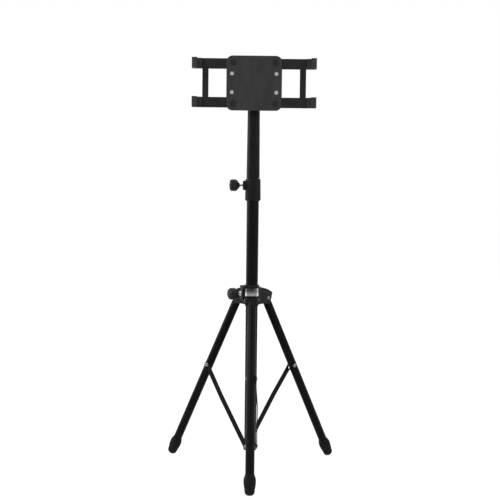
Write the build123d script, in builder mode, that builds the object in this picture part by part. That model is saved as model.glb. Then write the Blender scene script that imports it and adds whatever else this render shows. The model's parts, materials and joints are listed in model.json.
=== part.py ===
from build123d import *
from math import asin, atan2, cos, degrees, hypot, radians, sin
import os

# Tripod stand: three folding legs with braces, a telescopic mast and a gripping holder for a flat device.
# Millimetres. The origin is on the floor under the mast's axis, +Z is up and the front leg points to -Y.

# Fits
RUN_GAP = 0.3
PIN_GAP = 0.08
TUBE_GAP = 0.2
CUT = 1.0

# Legs
LEG_OD = 14.3
LEG_WALL = 1.0
HINGE_R = 26.0
HINGE_Z = 287.0
SPREAD_R = 161.0
HINGE_PIN_R = 2.0
KNUCKLE_LENGTH = 11.0
KNUCKLE_SPIGOT = 26.0
KNUCKLE_NECK = 0.35
LEG_AZIMUTHS = {"front": -90.0, "right": 30.0, "left": 150.0}

# Feet
FOOT_LENGTH = 32.0
FOOT_BULGE_R = 9.8
FOOT_BULGE_AT = 9.0
FOOT_TIP_R = 8.0
FOOT_EDGE_R = 6.5
FOOT_LIP = 0.6
FOOT_FLAT = 0.6
FOOT_PAD = 8.0

# Braces
BRACE_WIDTH = 8.2
BRACE_THICKNESS = 1.6
BRACE_GROOVE = 0.4
BRACE_GROOVE_WIDTH = 3.0
BRACE_EYE_R = 4.8
BRACE_RIVET_AT = 132.5
BRACE_RIVET_R = 1.5
BRACE_SLOT_SLACK = 0.7
BRACE_SLOT_RIM = 2.6
JOGGLE_START = 60.0
JOGGLE_END = 12.5
RIVET_HEAD_R = 3.6
RIVET_HEAD_HEIGHT = 1.6
RIVET_TAPER = 35.0
RIVET_BACK_SHARE = 0.9

# Mast and the bracket at its foot
MAST_OD = 20.0
MAST_WALL = 1.2
MAST_TOP = 464.0
BRACKET_R = 2.0
BRACKET_Z = 36.0
BRACKET_OD = 23.0
BRACKET_BELOW = 6.5
BRACKET_ABOVE = 7.5
BRACKET_SPIGOT = 22.0
BRACKET_PIN_R = 2.0
BRACKET_HEAD_R = 3.2
BRACKET_HEAD_HEIGHT = 1.0
BRACKET_HEAD_TAPER = 30.0
BRACKET_BEVEL = 1.0

# Hub
HUB_BOTTOM = 277.5
HUB_TOP = 305.0
HUB_OD = 33.0
HUB_BUSH_WALL = 1.3
HUB_CAP_OD = 25.2
HUB_CAP_HEIGHT = 4.0
HUB_CAP_BEVEL = 0.6
ARM_WIDTH = 22.4
ARM_NOSE_R = 33.4
ARM_NOSE_EDGE = 1.2
ARM_FRONT_SLOPE = 3.8
ARM_LIP = 2.6
ARM_EDGE_R = 0.8
ARM_SLOT_START = 1.0
ROOF_CREST_R = 10.0
ROOF_CREST_DROP = 0.2
ROOF_DROP = 8.14
ROOF_THICKNESS = 2.6
LABEL_THICKNESS = 0.5
LABEL_WIDTH = 21.4
LABEL_WRAP = 1.4
HINGE_HEAD_R = 2.7
HINGE_HEAD_HEIGHT = 1.0
HINGE_HEAD_TAPER = 25.0
HUB_KNOB_AZIMUTH = 210.0
HUB_KNOB_BELOW = 9.2
HUB_KNOB_R = 26.8
HUB_BOSS_R = 20.3
HUB_BOSS_WIDTH = 9.4
HUB_BOSS_BELOW = 10.5

# Knobs and their screws
KNOB_R = 9.7
KNOB_LENGTH = 17.5
KNOB_CONE = 5.8
KNOB_DOME = 3.9
KNOB_EDGE_R = 2.8
KNOB_LOBES = 6
LOBE_CUT_R = 3.2
LOBE_CUT_DEPTH = 0.9
LOBE_START = 1.74
THROAT_RIM = 0.6
SCREW_R = 2.0
SCREW_IN_KNOB = 10.0
SCREW_BEVEL = 0.5
NUT_FLATS = 8.0
NUT_HEIGHT = 3.0

# Collar on the mast's top
COLLAR_BOTTOM = 448.6
COLLAR_TOP = 485.7
COLLAR_TOP_R = 12.4
COLLAR_BOTTOM_R = 13.0
COLLAR_CHAMFER = 2.0
COLLAR_LIP = 2.0
COLLAR_BOSS_Z = 474.4
COLLAR_BOSS_D = 16.0
COLLAR_BOSS_FACE = 17.0
COLLAR_BOSS_ROUND = 2.2
COLLAR_BOSS_ROOT = 0.5
COLLAR_KNOB_FACE = 21.9

# Riser
RISER_OD = 16.0
RISER_WALL = 1.2
RISER_BOTTOM = 130.0
RISER_TOP = 592.0
RISER_BUSH_HEIGHT = 18.0
NECK_BOTTOM_R = 10.85
NECK_TOP_R = 10.0
NECK_TOP = 600.0
PAN_STUD_R = 5.0
PAN_STUD_HEIGHT = 10.0

# Yoke and tilt block
TILT_Z = 640.0
YOKE_BASE_R = 12.6
YOKE_BASE_HEIGHT = 13.0
YOKE_CHEEK = 4.4
YOKE_CHEEK_R = 9.5
YOKE_CHEEK_ROOT = 4.0
YOKE_BEVEL = 1.0
TILT_BLOCK_WIDTH = 14.0
TILT_BLOCK_R = 9.0
TILT_BOLT_R = 3.0
TILT_HEAD_R = 5.4
TILT_HEAD_HEIGHT = 4.0
TILT_WASHER_R = 6.4
TILT_WASHER = 1.2
TILT_KNOB_GAP = 0.5
FLANGE_R = 16.0
FLANGE_THICKNESS = 3.0

# Holder
SPIN_FACE_Y = -18.0
HOLDER_WIDTH = 90.0
HOLDER_HEIGHT = 88.0
HOLDER_DEPTH = 6.7
HOLDER_CORNER = 10.0
COVER_THICKNESS = 2.0
COVER_BEVEL = 0.6
HOLDER_EDGE_R = 1.5
REST_PAD_R = 5.0
REST_PAD_HEIGHT = 1.4
REST_PAD_BEVEL = 0.4
REST_PAD_X = 34.0
REST_PAD_Z = 33.0
COVER_SCREW_X = 36.0
COVER_SCREW_Z = 15.0
COVER_SCREW_R = 1.5
COVER_SCREW_HEAD_R = 3.0
COVER_SCREW_FLOOR = 1.5
COVER_SCREW_END = 1.0
RECESS_LENGTH = 3.4
RECESS_WIDTH = 0.6
RECESS_DEPTH = 0.8
SPIN_BOLT_R = 3.0
SPIN_HEAD_R = 6.0
SPIN_HEAD_HEIGHT = 2.4
SPIN_WASHER = 0.8
SPIN_WASHER_RIM = 0.6
SPIN_WELL = 1.0
SPIN_SLOT_WIDTH = 1.2
SPIN_SLOT_DEPTH = 1.0
HOLDER_FLOOR = 2.2

# Sliding brackets and claws
CLAW_PITCH = 62.2
CLAW_HEIGHT = 17.0
CLAW_OUTER_X = 100.3
CLAW_WALL = 4.3
CLAW_BACK = 3.4
CLAW_BACK_LENGTH = 11.0
CLAW_LIP = 4.5
CLAW_LIP_THICKNESS = 2.6
CLAW_PAD = 3.0
CLAW_PAD_INSET = 0.5
CLAW_EDGE_R = 1.6
CLAW_SKIN = 0.6
DEVICE_DEPTH = 11.0
BRACKET_ARM_THICKNESS = 2.5
BRACKET_ARM_HEIGHT = 16.8
BRACKET_ARM_INNER_X = 28.0
BRACKET_BAR_X = 79.0
BRACKET_BAR_WIDTH = 10.0
CHANNEL_INNER_X = 3.0
FRICTION_PAD_LENGTH = 10.0
FRICTION_PAD_HEIGHT = 12.0
FRICTION_PAD = 1.0
FRICTION_PAD_INSET = 2.0
CLAW_SCREW_R = 1.5
CLAW_SCREW_HEAD_R = 2.8
CLAW_SCREW_HEAD = 1.4

# Leg geometry that follows from the sizes above
LEG_R = LEG_OD / 2
LEG_LEAN = atan2(SPREAD_R - HINGE_R, HINGE_Z)
FOOT_TIP_AT = FOOT_EDGE_R + (
    HINGE_Z + FOOT_FLAT - FOOT_EDGE_R - (FOOT_TIP_R - FOOT_EDGE_R) * sin(LEG_LEAN)
) / cos(LEG_LEAN)
FOOT_MOUTH_AT = FOOT_TIP_AT - FOOT_LENGTH
LEG_TUBE_END = FOOT_TIP_AT - FOOT_PAD

# Brace geometry: the brace runs from the bracket at the mast's foot to the leg's rivet
BRACE_RIVET_RADIAL = HINGE_R + BRACE_RIVET_AT * sin(LEG_LEAN)
BRACE_RIVET_Z = HINGE_Z - BRACE_RIVET_AT * cos(LEG_LEAN)
BRACE_SPAN = hypot(BRACE_RIVET_RADIAL - BRACKET_R, BRACE_RIVET_Z - BRACKET_Z)
BRACE_LEAN = atan2(BRACE_RIVET_RADIAL - BRACKET_R, BRACE_RIVET_Z - BRACKET_Z)
BRACE_LEAN_FOLDED = asin((HINGE_R - BRACKET_R) / BRACE_SPAN)
HUB_RISE = BRACKET_Z + BRACE_SPAN * cos(BRACE_LEAN_FOLDED) + BRACE_RIVET_AT - HINGE_Z
MAST_R = MAST_OD / 2
MAST_BORE_R = MAST_R - MAST_WALL
MAST_BOTTOM = BRACKET_Z + BRACKET_ABOVE
BRACE_OFFSET = MAST_R + RUN_GAP
BRACE_TOP_OFFSET = LEG_R + TUBE_GAP

# Places along the mast and in the holder
RISER_R = RISER_OD / 2
HUB_BUSH_R = MAST_R + TUBE_GAP + HUB_BUSH_WALL
HUB_R = HUB_OD / 2
ARM_HALF = ARM_WIDTH / 2
ROOF_RUN = ARM_NOSE_R - ARM_NOSE_EDGE / 2 - ROOF_CREST_R
ROOF_ARC_R = (ROOF_RUN**2 + ROOF_DROP**2) / (2 * ROOF_DROP)
ROOF_Z = HUB_TOP - ROOF_CREST_DROP - ROOF_ARC_R
HUB_KNOB_Z = HUB_TOP - HUB_KNOB_BELOW
ARM_SLOT_HALF = LEG_R + TUBE_GAP
KNUCKLE_HALF = LEG_R - PIN_GAP
COLLAR_SHELF = COLLAR_TOP - COLLAR_LIP
RISER_HOLE_R = RISER_R + RUN_GAP
NECK_BOTTOM = COLLAR_TOP + RUN_GAP
YOKE_BOTTOM = NECK_TOP + RUN_GAP
CHEEK_INNER_X = TILT_BLOCK_WIDTH / 2 + RUN_GAP
CHEEK_OUTER_X = CHEEK_INNER_X + YOKE_CHEEK
TILT_KNOB_X = CHEEK_OUTER_X + TILT_WASHER + TILT_KNOB_GAP
HOLDER_BACK_Y = SPIN_FACE_Y - RUN_GAP
SPIN_HEAD_BACK_Y = HOLDER_BACK_Y - HOLDER_FLOOR - SPIN_WASHER
HOLDER_FRONT_Y = HOLDER_BACK_Y - HOLDER_DEPTH
COVER_FRONT_Y = HOLDER_FRONT_Y - COVER_THICKNESS
REST_Y = COVER_FRONT_Y - REST_PAD_HEIGHT
CLAW_Z = CLAW_PITCH / 2
ARM_FRONT_Y = HOLDER_FRONT_Y + RUN_GAP
ARM_BACK_Y = ARM_FRONT_Y + BRACKET_ARM_THICKNESS
CHANNEL_BACK_Y = ARM_BACK_Y + RUN_GAP
CLAW_INNER_X = CLAW_OUTER_X - CLAW_WALL
CLAW_LIP_Y = REST_Y - DEVICE_DEPTH
CLAW_FRONT_Y = CLAW_LIP_Y - CLAW_LIP_THICKNESS
CLAW_BACK_Y = ARM_FRONT_Y - CLAW_BACK
CLAW_SCREW_X = CLAW_INNER_X - CLAW_BACK_LENGTH / 2


def save(piece, name):
    """Labels a finished piece and writes it to its own file."""
    piece.part.label = name
    export_step(piece.part, f"parts/{name}.step")


def outward(azimuth):
    """The level direction away from the mast at an azimuth."""
    return Vector(cos(radians(azimuth)), sin(radians(azimuth)), 0)


def sideways(azimuth):
    """The level direction a quarter turn on from outward."""
    return Vector(-sin(radians(azimuth)), cos(radians(azimuth)), 0)


def leg_frame(azimuth):
    """Origin on the leg's hinge, z down along the leg, x sideways."""
    origin = outward(azimuth) * HINGE_R + Vector(0, 0, HINGE_Z)
    down = outward(azimuth) * sin(LEG_LEAN) - Vector(0, 0, cos(LEG_LEAN))
    return Plane(origin=origin, x_dir=sideways(azimuth), z_dir=down)


def brace_frame(azimuth):
    """Origin on the brace's lower pivot, z up along the brace, x sideways."""
    origin = outward(azimuth) * BRACKET_R + Vector(0, 0, BRACKET_Z)
    up = outward(azimuth) * sin(BRACE_LEAN) + Vector(0, 0, cos(BRACE_LEAN))
    return Plane(origin=origin, x_dir=sideways(azimuth), z_dir=up)


def lengthwise(frame):
    """The plane through a frame's own axis: x stays, y runs along the frame's z."""
    return Plane(origin=frame.origin, x_dir=frame.x_dir, z_dir=frame.y_dir * -1)


def flank(frame, distance=0.0):
    """The plane square to a frame's x, moved along it: x is the frame's y and y the frame's z."""
    return Plane(
        origin=frame.origin + frame.x_dir * distance,
        x_dir=frame.y_dir,
        z_dir=frame.x_dir,
    )


def radial_plane(azimuth):
    """The upright plane that holds the mast's axis: x is the distance from it and y the height."""
    return Plane(origin=(0, 0, 0), x_dir=outward(azimuth), z_dir=sideways(azimuth) * -1)


def axis_frame(azimuth, distance, height):
    """A frame on a level axis that leaves the mast at an azimuth: z points outward."""
    origin = outward(azimuth) * distance + Vector(0, 0, height)
    return Plane(origin=origin, x_dir=(0, 0, 1), z_dir=outward(azimuth))


def rivet_in_brace(share):
    """Where the leg's rivet lies in the brace's frame at a share of the fold: across and along it."""
    lean = LEG_LEAN * (1 - share)
    radial = HINGE_R + BRACE_RIVET_AT * sin(lean) - BRACKET_R
    height = HINGE_Z + HUB_RISE * share - BRACE_RIVET_AT * cos(lean) - BRACKET_Z
    brace = BRACE_LEAN + (BRACE_LEAN_FOLDED - BRACE_LEAN) * share
    across = height * sin(brace) - radial * cos(brace)
    along = height * cos(brace) + radial * sin(brace)
    return across, along


# Mast


def make_mast_tube():
    with BuildPart() as tube:
        with BuildSketch(Plane.XY.offset(MAST_BOTTOM)):
            Circle(MAST_R)
            Circle(MAST_BORE_R, mode=Mode.SUBTRACT)
        extrude(amount=MAST_TOP - MAST_BOTTOM)
    return tube


def make_bottom_bracket():
    """A round plug with three flats, one for each brace, and a spigot inside the mast."""
    with BuildPart() as bracket:
        with BuildSketch(Plane.XY.offset(BRACKET_Z - BRACKET_BELOW)):
            Circle(BRACKET_OD / 2)
            for azimuth in LEG_AZIMUTHS.values():
                middle = sideways(azimuth) * (MAST_R + BRACKET_OD / 2)
                with Locations(Location((middle.X, middle.Y, 0), (0, 0, azimuth))):
                    Rectangle(BRACKET_OD * 2, BRACKET_OD, mode=Mode.SUBTRACT)
        extrude(amount=BRACKET_BELOW + BRACKET_ABOVE)
        chamfer(bracket.faces().sort_by(Axis.Z)[0].edges(), length=BRACKET_BEVEL)
        with BuildSketch(Plane.XY.offset(MAST_BOTTOM)):
            Circle(MAST_BORE_R)
        extrude(amount=BRACKET_SPIGOT)
        chamfer(bracket.faces().sort_by(Axis.Z)[-1].edges(), length=BRACKET_BEVEL)
        for azimuth in LEG_AZIMUTHS.values():
            with BuildSketch(flank(brace_frame(azimuth), MAST_R)):
                Circle(BRACKET_PIN_R)
            extrude(amount=-MAST_R / 2, mode=Mode.SUBTRACT)
    return bracket


def make_bracket_rivets():
    """Three rivets that the braces turn on, set in the bracket's flats."""
    with BuildPart() as rivets:
        for azimuth in LEG_AZIMUTHS.values():
            seat = BRACE_OFFSET + BRACE_THICKNESS + TUBE_GAP
            with BuildSketch(flank(brace_frame(azimuth), MAST_R / 2)):
                Circle(BRACKET_PIN_R)
            extrude(amount=seat - MAST_R / 2)
            with BuildSketch(flank(brace_frame(azimuth), seat)):
                Circle(BRACKET_HEAD_R)
            extrude(amount=BRACKET_HEAD_HEIGHT, taper=BRACKET_HEAD_TAPER)
    return rivets


# Hub


def roof_height(radial, lift=0.0):
    """The height of an arm's arched roof at a distance from the mast's axis, lifted by a thickness."""
    arc_r = ROOF_ARC_R + lift
    return ROOF_Z + (arc_r**2 - (radial - ROOF_CREST_R) ** 2) ** 0.5


def arm_profile(bottom, mode=Mode.ADD):
    """The side view of an arm: an arched roof, a rounded nose and a front that slopes back downward."""
    roof_end_r = ARM_NOSE_R - ARM_NOSE_EDGE / 2
    crest = (ROOF_CREST_R, roof_height(ROOF_CREST_R))
    middle_r = (ROOF_CREST_R + roof_end_r) / 2
    roof_end = (roof_end_r, roof_height(roof_end_r))
    nose = (ARM_NOSE_R, roof_end[1] - ARM_NOSE_EDGE)
    with BuildLine() as outline:
        ThreePointArc(crest, (middle_r, roof_height(middle_r)), roof_end)
        RadiusArc(roof_end, nose, ARM_NOSE_EDGE)
        Polyline(nose, (ARM_NOSE_R - ARM_FRONT_SLOPE, bottom), (ROOF_CREST_R, bottom), crest)
    make_face(outline.edges(), mode=mode)


def slot_profile(bottom):
    """The side view of the leg's slot, open below and, under the nose's lip, in front."""
    back_r = HUB_R + ARM_SLOT_START
    front_r = ARM_NOSE_R - ARM_LIP
    lip_z = roof_height(ARM_NOSE_R - ARM_NOSE_EDGE / 2) - ARM_NOSE_EDGE - ARM_LIP
    middle_r = (back_r + front_r) / 2
    points = [(r, roof_height(r, -ROOF_THICKNESS)) for r in (back_r, middle_r, front_r)]
    with BuildLine() as outline:
        ThreePointArc(*points)
        Polyline(
            points[-1],
            (front_r, lip_z),
            (ARM_NOSE_R + CUT, lip_z),
            (ARM_NOSE_R + CUT, bottom),
            (back_r, bottom),
            points[0],
        )
    make_face(outline.edges())


def make_hub_body():
    with BuildPart() as hub:
        for azimuth in LEG_AZIMUTHS.values():
            with BuildSketch(radial_plane(azimuth)):
                arm_profile(HUB_BOTTOM)
            extrude(amount=ARM_HALF, both=True)
        roof_edges = hub.edges().filter_by(GeomType.CIRCLE)
        roof_edges = roof_edges.filter_by(lambda edge: abs(edge.radius - ROOF_ARC_R) < RUN_GAP)
        fillet(roof_edges, radius=ARM_EDGE_R)
        with BuildSketch(Plane.XY.offset(HUB_BOTTOM)):
            Circle(HUB_R)
        extrude(amount=HUB_TOP - HUB_BOTTOM)
        # the clamp boss that the screw passes through
        boss = axis_frame(HUB_KNOB_AZIMUTH, 0, HUB_KNOB_Z)
        top = HUB_TOP + HUB_CAP_HEIGHT - HUB_KNOB_Z
        with BuildSketch(boss):
            with Locations(((top - HUB_BOSS_BELOW) / 2, 0)):
                RectangleRounded(top + HUB_BOSS_BELOW, HUB_BOSS_WIDTH, ARM_EDGE_R)
        extrude(amount=HUB_BOSS_R)
        for azimuth in LEG_AZIMUTHS.values():
            with BuildSketch(radial_plane(azimuth)):
                slot_profile(HUB_BOTTOM - CUT)
            extrude(amount=ARM_SLOT_HALF, both=True, mode=Mode.SUBTRACT)
            with BuildSketch(flank(leg_frame(azimuth))):
                Circle(HINGE_PIN_R)
            extrude(amount=ARM_HALF + CUT, both=True, mode=Mode.SUBTRACT)
        with BuildSketch(Plane.XY.offset(HUB_BOTTOM - CUT)):
            Circle(HUB_BUSH_R)
        extrude(amount=HUB_TOP + HUB_CAP_HEIGHT - HUB_BOTTOM + 2 * CUT, mode=Mode.SUBTRACT)
        with BuildSketch(Plane.XY.offset(HUB_TOP)):
            Circle(HUB_CAP_OD / 2)
        extrude(amount=HUB_CAP_HEIGHT + CUT, mode=Mode.SUBTRACT)
        with BuildSketch(boss):
            Circle(SCREW_R + TUBE_GAP)
        extrude(amount=HUB_BOSS_R + CUT, mode=Mode.SUBTRACT)
        with BuildSketch(boss.offset(HUB_BOSS_R - NUT_HEIGHT / 2)):
            RegularPolygon(NUT_FLATS / 2, 6, major_radius=False)
        extrude(amount=NUT_HEIGHT, mode=Mode.SUBTRACT)
    return hub


def make_ring(bottom, height, inner_r, outer_r, bevel=0.0):
    """A plain ring round the mast's axis."""
    with BuildPart() as ring:
        with BuildSketch(Plane.XY.offset(bottom)):
            Circle(outer_r)
            Circle(inner_r, mode=Mode.SUBTRACT)
        extrude(amount=height)
        if bevel:
            chamfer(ring.edges().group_by(Axis.Z)[-1].sort_by(SortBy.RADIUS)[-1], length=bevel)
    return ring


def make_hub_bush():
    """The liner between hub and mast, with the clamp screw's hole."""
    with BuildPart() as bush:
        with BuildSketch(Plane.XY.offset(HUB_BOTTOM)):
            Circle(HUB_BUSH_R)
            Circle(MAST_R + TUBE_GAP, mode=Mode.SUBTRACT)
        extrude(amount=HUB_TOP - HUB_BOTTOM)
        with BuildSketch(axis_frame(HUB_KNOB_AZIMUTH, 0, HUB_KNOB_Z)):
            Circle(SCREW_R + TUBE_GAP)
        extrude(amount=HUB_R, mode=Mode.SUBTRACT)
    return bush


def make_hub_label():
    """A bare metal plate bent over the front arm's roof and nose."""
    wrap_z = roof_height(ARM_NOSE_R - ARM_NOSE_EDGE / 2) - ARM_NOSE_EDGE - LABEL_WRAP
    back_r = HUB_R + RUN_GAP
    with BuildPart() as label:
        with BuildSketch(radial_plane(LEG_AZIMUTHS["front"])):
            arm_profile(HUB_BOTTOM)
            offset(amount=LABEL_THICKNESS)
            arm_profile(HUB_BOTTOM - CUT, mode=Mode.SUBTRACT)
            with Locations(((back_r + ARM_NOSE_R + CUT) / 2, (wrap_z + HUB_TOP + CUT) / 2)):
                Rectangle(ARM_NOSE_R + CUT - back_r, HUB_TOP + CUT - wrap_z, mode=Mode.INTERSECT)
        extrude(amount=LABEL_WIDTH / 2, both=True)
    return label


def make_hub_pins():
    """Three rivets through the hub's arms, which the legs turn on."""
    with BuildPart() as pins:
        for azimuth in LEG_AZIMUTHS.values():
            with BuildSketch(flank(leg_frame(azimuth))):
                Circle(HINGE_PIN_R)
            extrude(amount=ARM_HALF, both=True)
            for side in (1, -1):
                with BuildSketch(flank(leg_frame(azimuth), side * ARM_HALF)):
                    Circle(HINGE_HEAD_R)
                extrude(amount=side * HINGE_HEAD_HEIGHT, taper=HINGE_HEAD_TAPER)
    return pins


def make_nut(frame):
    """A hexagonal nut whose inner face lies on the frame."""
    with BuildPart() as nut:
        with BuildSketch(frame):
            RegularPolygon(NUT_FLATS / 2, 6, major_radius=False)
            Circle(SCREW_R + PIN_GAP, mode=Mode.SUBTRACT)
        extrude(amount=NUT_HEIGHT)
    return nut


# Knobs


def make_knob(frame):
    """A lobed knob with a coned throat towards its screw and a rounded face."""
    rim_start = (KNOB_R, KNOB_CONE)
    rim_end = (KNOB_R, KNOB_LENGTH - KNOB_DOME)
    shoulder = (KNOB_R - KNOB_EDGE_R, KNOB_LENGTH - KNOB_DOME + KNOB_EDGE_R)
    with BuildPart() as knob:
        with BuildSketch(lengthwise(frame)):
            with BuildLine():
                Polyline((SCREW_R, 0), (SCREW_R + THROAT_RIM, 0), rim_start, rim_end)
                RadiusArc(rim_end, shoulder, -KNOB_EDGE_R * 1.06)
                Line(shoulder, (0, KNOB_LENGTH))
                Polyline((0, KNOB_LENGTH), (0, SCREW_IN_KNOB), (SCREW_R, SCREW_IN_KNOB), (SCREW_R, 0))
            make_face()
        revolve(axis=Axis(frame.origin, frame.z_dir))
        with BuildSketch(frame.offset(LOBE_START)):
            with PolarLocations(KNOB_R + LOBE_CUT_R - LOBE_CUT_DEPTH, KNOB_LOBES, start_angle=30):
                Circle(LOBE_CUT_R)
        extrude(amount=KNOB_LENGTH, mode=Mode.SUBTRACT)
    return knob


def make_screw(frame, length):
    """A plain stud from the frame's origin outward, with a pointed tip."""
    with BuildPart() as screw:
        with BuildSketch(frame):
            Circle(SCREW_R)
        extrude(amount=length)
        chamfer(screw.edges().filter_by(GeomType.CIRCLE), length=SCREW_BEVEL)
    return screw


# Legs


def make_leg_tube(frame):
    with BuildPart() as tube:
        with BuildSketch(frame.offset(KNUCKLE_LENGTH)):
            Circle(LEG_R)
            Circle(LEG_R - LEG_WALL, mode=Mode.SUBTRACT)
        extrude(amount=LEG_TUBE_END - KNUCKLE_LENGTH)
        with BuildSketch(Plane(frame.origin + frame.z_dir * BRACE_RIVET_AT, z_dir=frame.x_dir)):
            Circle(BRACE_RIVET_R)
        extrude(amount=LEG_OD, both=True, mode=Mode.SUBTRACT)
    return tube


def make_leg_knuckle(frame):
    """The hinge eye at the leg's top, with a slightly thinner neck and a spigot inside the tube."""
    with BuildPart() as knuckle:
        with BuildSketch(flank(frame)):
            Circle(KNUCKLE_HALF)
        extrude(amount=KNUCKLE_HALF, both=True)
        with BuildSketch(frame):
            Circle(KNUCKLE_HALF - KNUCKLE_NECK)
        extrude(amount=KNUCKLE_LENGTH)
        with BuildSketch(frame.offset(KNUCKLE_LENGTH)):
            Circle(LEG_R - LEG_WALL)
        extrude(amount=KNUCKLE_SPIGOT)
        with BuildSketch(flank(frame)):
            Circle(HINGE_PIN_R + PIN_GAP)
        extrude(amount=LEG_OD, both=True, mode=Mode.SUBTRACT)
    return knuckle


def make_foot(frame):
    """A rubber foot with a bulge under its mouth, a rounded sole and a small flat where it stands."""
    with BuildPart() as foot:
        with BuildSketch(lengthwise(frame)):
            with BuildLine():
                neck = (LEG_R + FOOT_LIP, FOOT_MOUTH_AT)
                bulge = (FOOT_BULGE_R, FOOT_MOUTH_AT + FOOT_BULGE_AT)
                edge = (FOOT_TIP_R, FOOT_TIP_AT - FOOT_EDGE_R)
                sole = (FOOT_TIP_R - FOOT_EDGE_R, FOOT_TIP_AT)
                Line((LEG_R, FOOT_MOUTH_AT), neck)
                Spline(neck, bulge, edge, tangents=((0.25, 1), (-0.12, 1)))
                RadiusArc(edge, sole, -FOOT_EDGE_R)
                Polyline(sole, (0, FOOT_TIP_AT), (0, LEG_TUBE_END), (LEG_R, LEG_TUBE_END))
                Line((LEG_R, LEG_TUBE_END), (LEG_R, FOOT_MOUTH_AT))
            make_face()
        revolve(axis=Axis(frame.origin, frame.z_dir))
        split(bisect_by=Plane.XY, keep=Keep.TOP)
    return foot


def make_brace_rivet(frame):
    """The rivet through the leg and the brace: a wide head outside the brace and a flat one opposite."""
    seat = BRACE_TOP_OFFSET + BRACE_THICKNESS + TUBE_GAP
    centre = frame.origin + frame.z_dir * BRACE_RIVET_AT
    with BuildPart() as rivet:
        with BuildSketch(Plane(centre - frame.x_dir * LEG_R, z_dir=frame.x_dir)):
            Circle(BRACE_RIVET_R)
        extrude(amount=LEG_R + seat)
        with BuildSketch(Plane(centre + frame.x_dir * seat, z_dir=frame.x_dir)):
            Circle(RIVET_HEAD_R)
        extrude(amount=RIVET_HEAD_HEIGHT, taper=RIVET_TAPER)
        with BuildSketch(Plane(centre - frame.x_dir * LEG_R, z_dir=frame.x_dir * -1)):
            Circle(RIVET_HEAD_R * RIVET_BACK_SHARE)
        extrude(amount=RIVET_HEAD_HEIGHT * RIVET_BACK_SHARE, taper=RIVET_TAPER)
    return rivet


# Braces


def make_brace(frame):
    """A flat strip, stepped in towards the leg at its top, with a round lower eye and a slotted top."""
    top_pad = flank(frame, BRACE_TOP_OFFSET)
    foot_eye = flank(frame, BRACE_OFFSET)
    drift = rivet_in_brace(0.45)
    slot_centre = (drift[0] / 2, (BRACE_SPAN + drift[1]) / 2)
    slot_run = hypot(drift[0], BRACE_SPAN - drift[1])
    slot_turn = degrees(atan2(BRACE_SPAN - drift[1], -drift[0]))
    slot_width = 2 * (BRACE_RIVET_R + BRACE_SLOT_SLACK)
    with BuildPart() as brace:
        with BuildSketch(lengthwise(frame)):
            with BuildLine():
                Polyline(
                    (BRACE_OFFSET, 0),
                    (BRACE_OFFSET, BRACE_SPAN - JOGGLE_START),
                    (BRACE_TOP_OFFSET, BRACE_SPAN - JOGGLE_END),
                    (BRACE_TOP_OFFSET, BRACE_SPAN),
                    (BRACE_TOP_OFFSET + BRACE_THICKNESS, BRACE_SPAN),
                    (BRACE_TOP_OFFSET + BRACE_THICKNESS, BRACE_SPAN - JOGGLE_END),
                    (BRACE_OFFSET + BRACE_THICKNESS, BRACE_SPAN - JOGGLE_START),
                    (BRACE_OFFSET + BRACE_THICKNESS, 0),
                    close=True,
                )
            make_face()
        extrude(amount=BRACE_WIDTH / 2, both=True)
        with BuildSketch(foot_eye):
            Circle(BRACE_EYE_R)
        extrude(amount=BRACE_THICKNESS)
        with BuildSketch(top_pad):
            with Locations(Location((*slot_centre, 0), (0, 0, slot_turn))):
                SlotCenterToCenter(slot_run, slot_width + 2 * BRACE_SLOT_RIM)
        extrude(amount=BRACE_THICKNESS)
        with BuildSketch(top_pad):
            with Locations(Location((*slot_centre, 0), (0, 0, slot_turn))):
                SlotCenterToCenter(slot_run, slot_width)
        extrude(amount=BRACE_THICKNESS, mode=Mode.SUBTRACT)
        with BuildSketch(foot_eye):
            Circle(BRACKET_PIN_R + PIN_GAP)
        extrude(amount=BRACE_THICKNESS, mode=Mode.SUBTRACT)
        # the shallow groove pressed along the strip
        groove_length = BRACE_SPAN - JOGGLE_START - 4 * BRACE_EYE_R
        with BuildSketch(flank(frame, BRACE_OFFSET + BRACE_THICKNESS)):
            with Locations(Location((0, (BRACE_SPAN - JOGGLE_START) / 2, 0), (0, 0, 90))):
                SlotOverall(groove_length, BRACE_GROOVE_WIDTH)
        extrude(amount=-BRACE_GROOVE, mode=Mode.SUBTRACT)
    return brace


# Collar


def make_collar_clamp():
    with BuildPart() as collar:
        with BuildSketch(Plane.XZ):
            with BuildLine():
                Polyline(
                    (MAST_R, COLLAR_BOTTOM),
                    (COLLAR_BOTTOM_R - COLLAR_CHAMFER, COLLAR_BOTTOM),
                    (COLLAR_BOTTOM_R, COLLAR_BOTTOM + COLLAR_CHAMFER),
                    (COLLAR_TOP_R, COLLAR_TOP - COLLAR_LIP),
                    (COLLAR_TOP_R - COLLAR_CHAMFER / 2, COLLAR_TOP),
                    (RISER_HOLE_R + PIN_GAP, COLLAR_TOP),
                    (RISER_HOLE_R + PIN_GAP, COLLAR_SHELF),
                    (MAST_R, COLLAR_SHELF),
                    close=True,
                )
            make_face()
        revolve(axis=Axis.Z)
        boss = axis_frame(180, 0, COLLAR_BOSS_Z)
        with BuildSketch(boss.offset(MAST_R + COLLAR_BOSS_ROOT)):
            Circle(COLLAR_BOSS_D / 2)
        extrude(amount=COLLAR_BOSS_FACE - MAST_R - COLLAR_BOSS_ROOT)
        fillet(collar.edges().filter_by(GeomType.CIRCLE).sort_by(Axis.X)[0], radius=COLLAR_BOSS_ROUND)
        with BuildSketch(boss):
            Circle(SCREW_R + TUBE_GAP)
        extrude(amount=COLLAR_BOSS_FACE + CUT, mode=Mode.SUBTRACT)
        with BuildSketch(boss.offset(COLLAR_BOSS_FACE - NUT_HEIGHT)):
            RegularPolygon(NUT_FLATS / 2, 6, major_radius=False)
        extrude(amount=NUT_HEIGHT, mode=Mode.SUBTRACT)
    return collar


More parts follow.
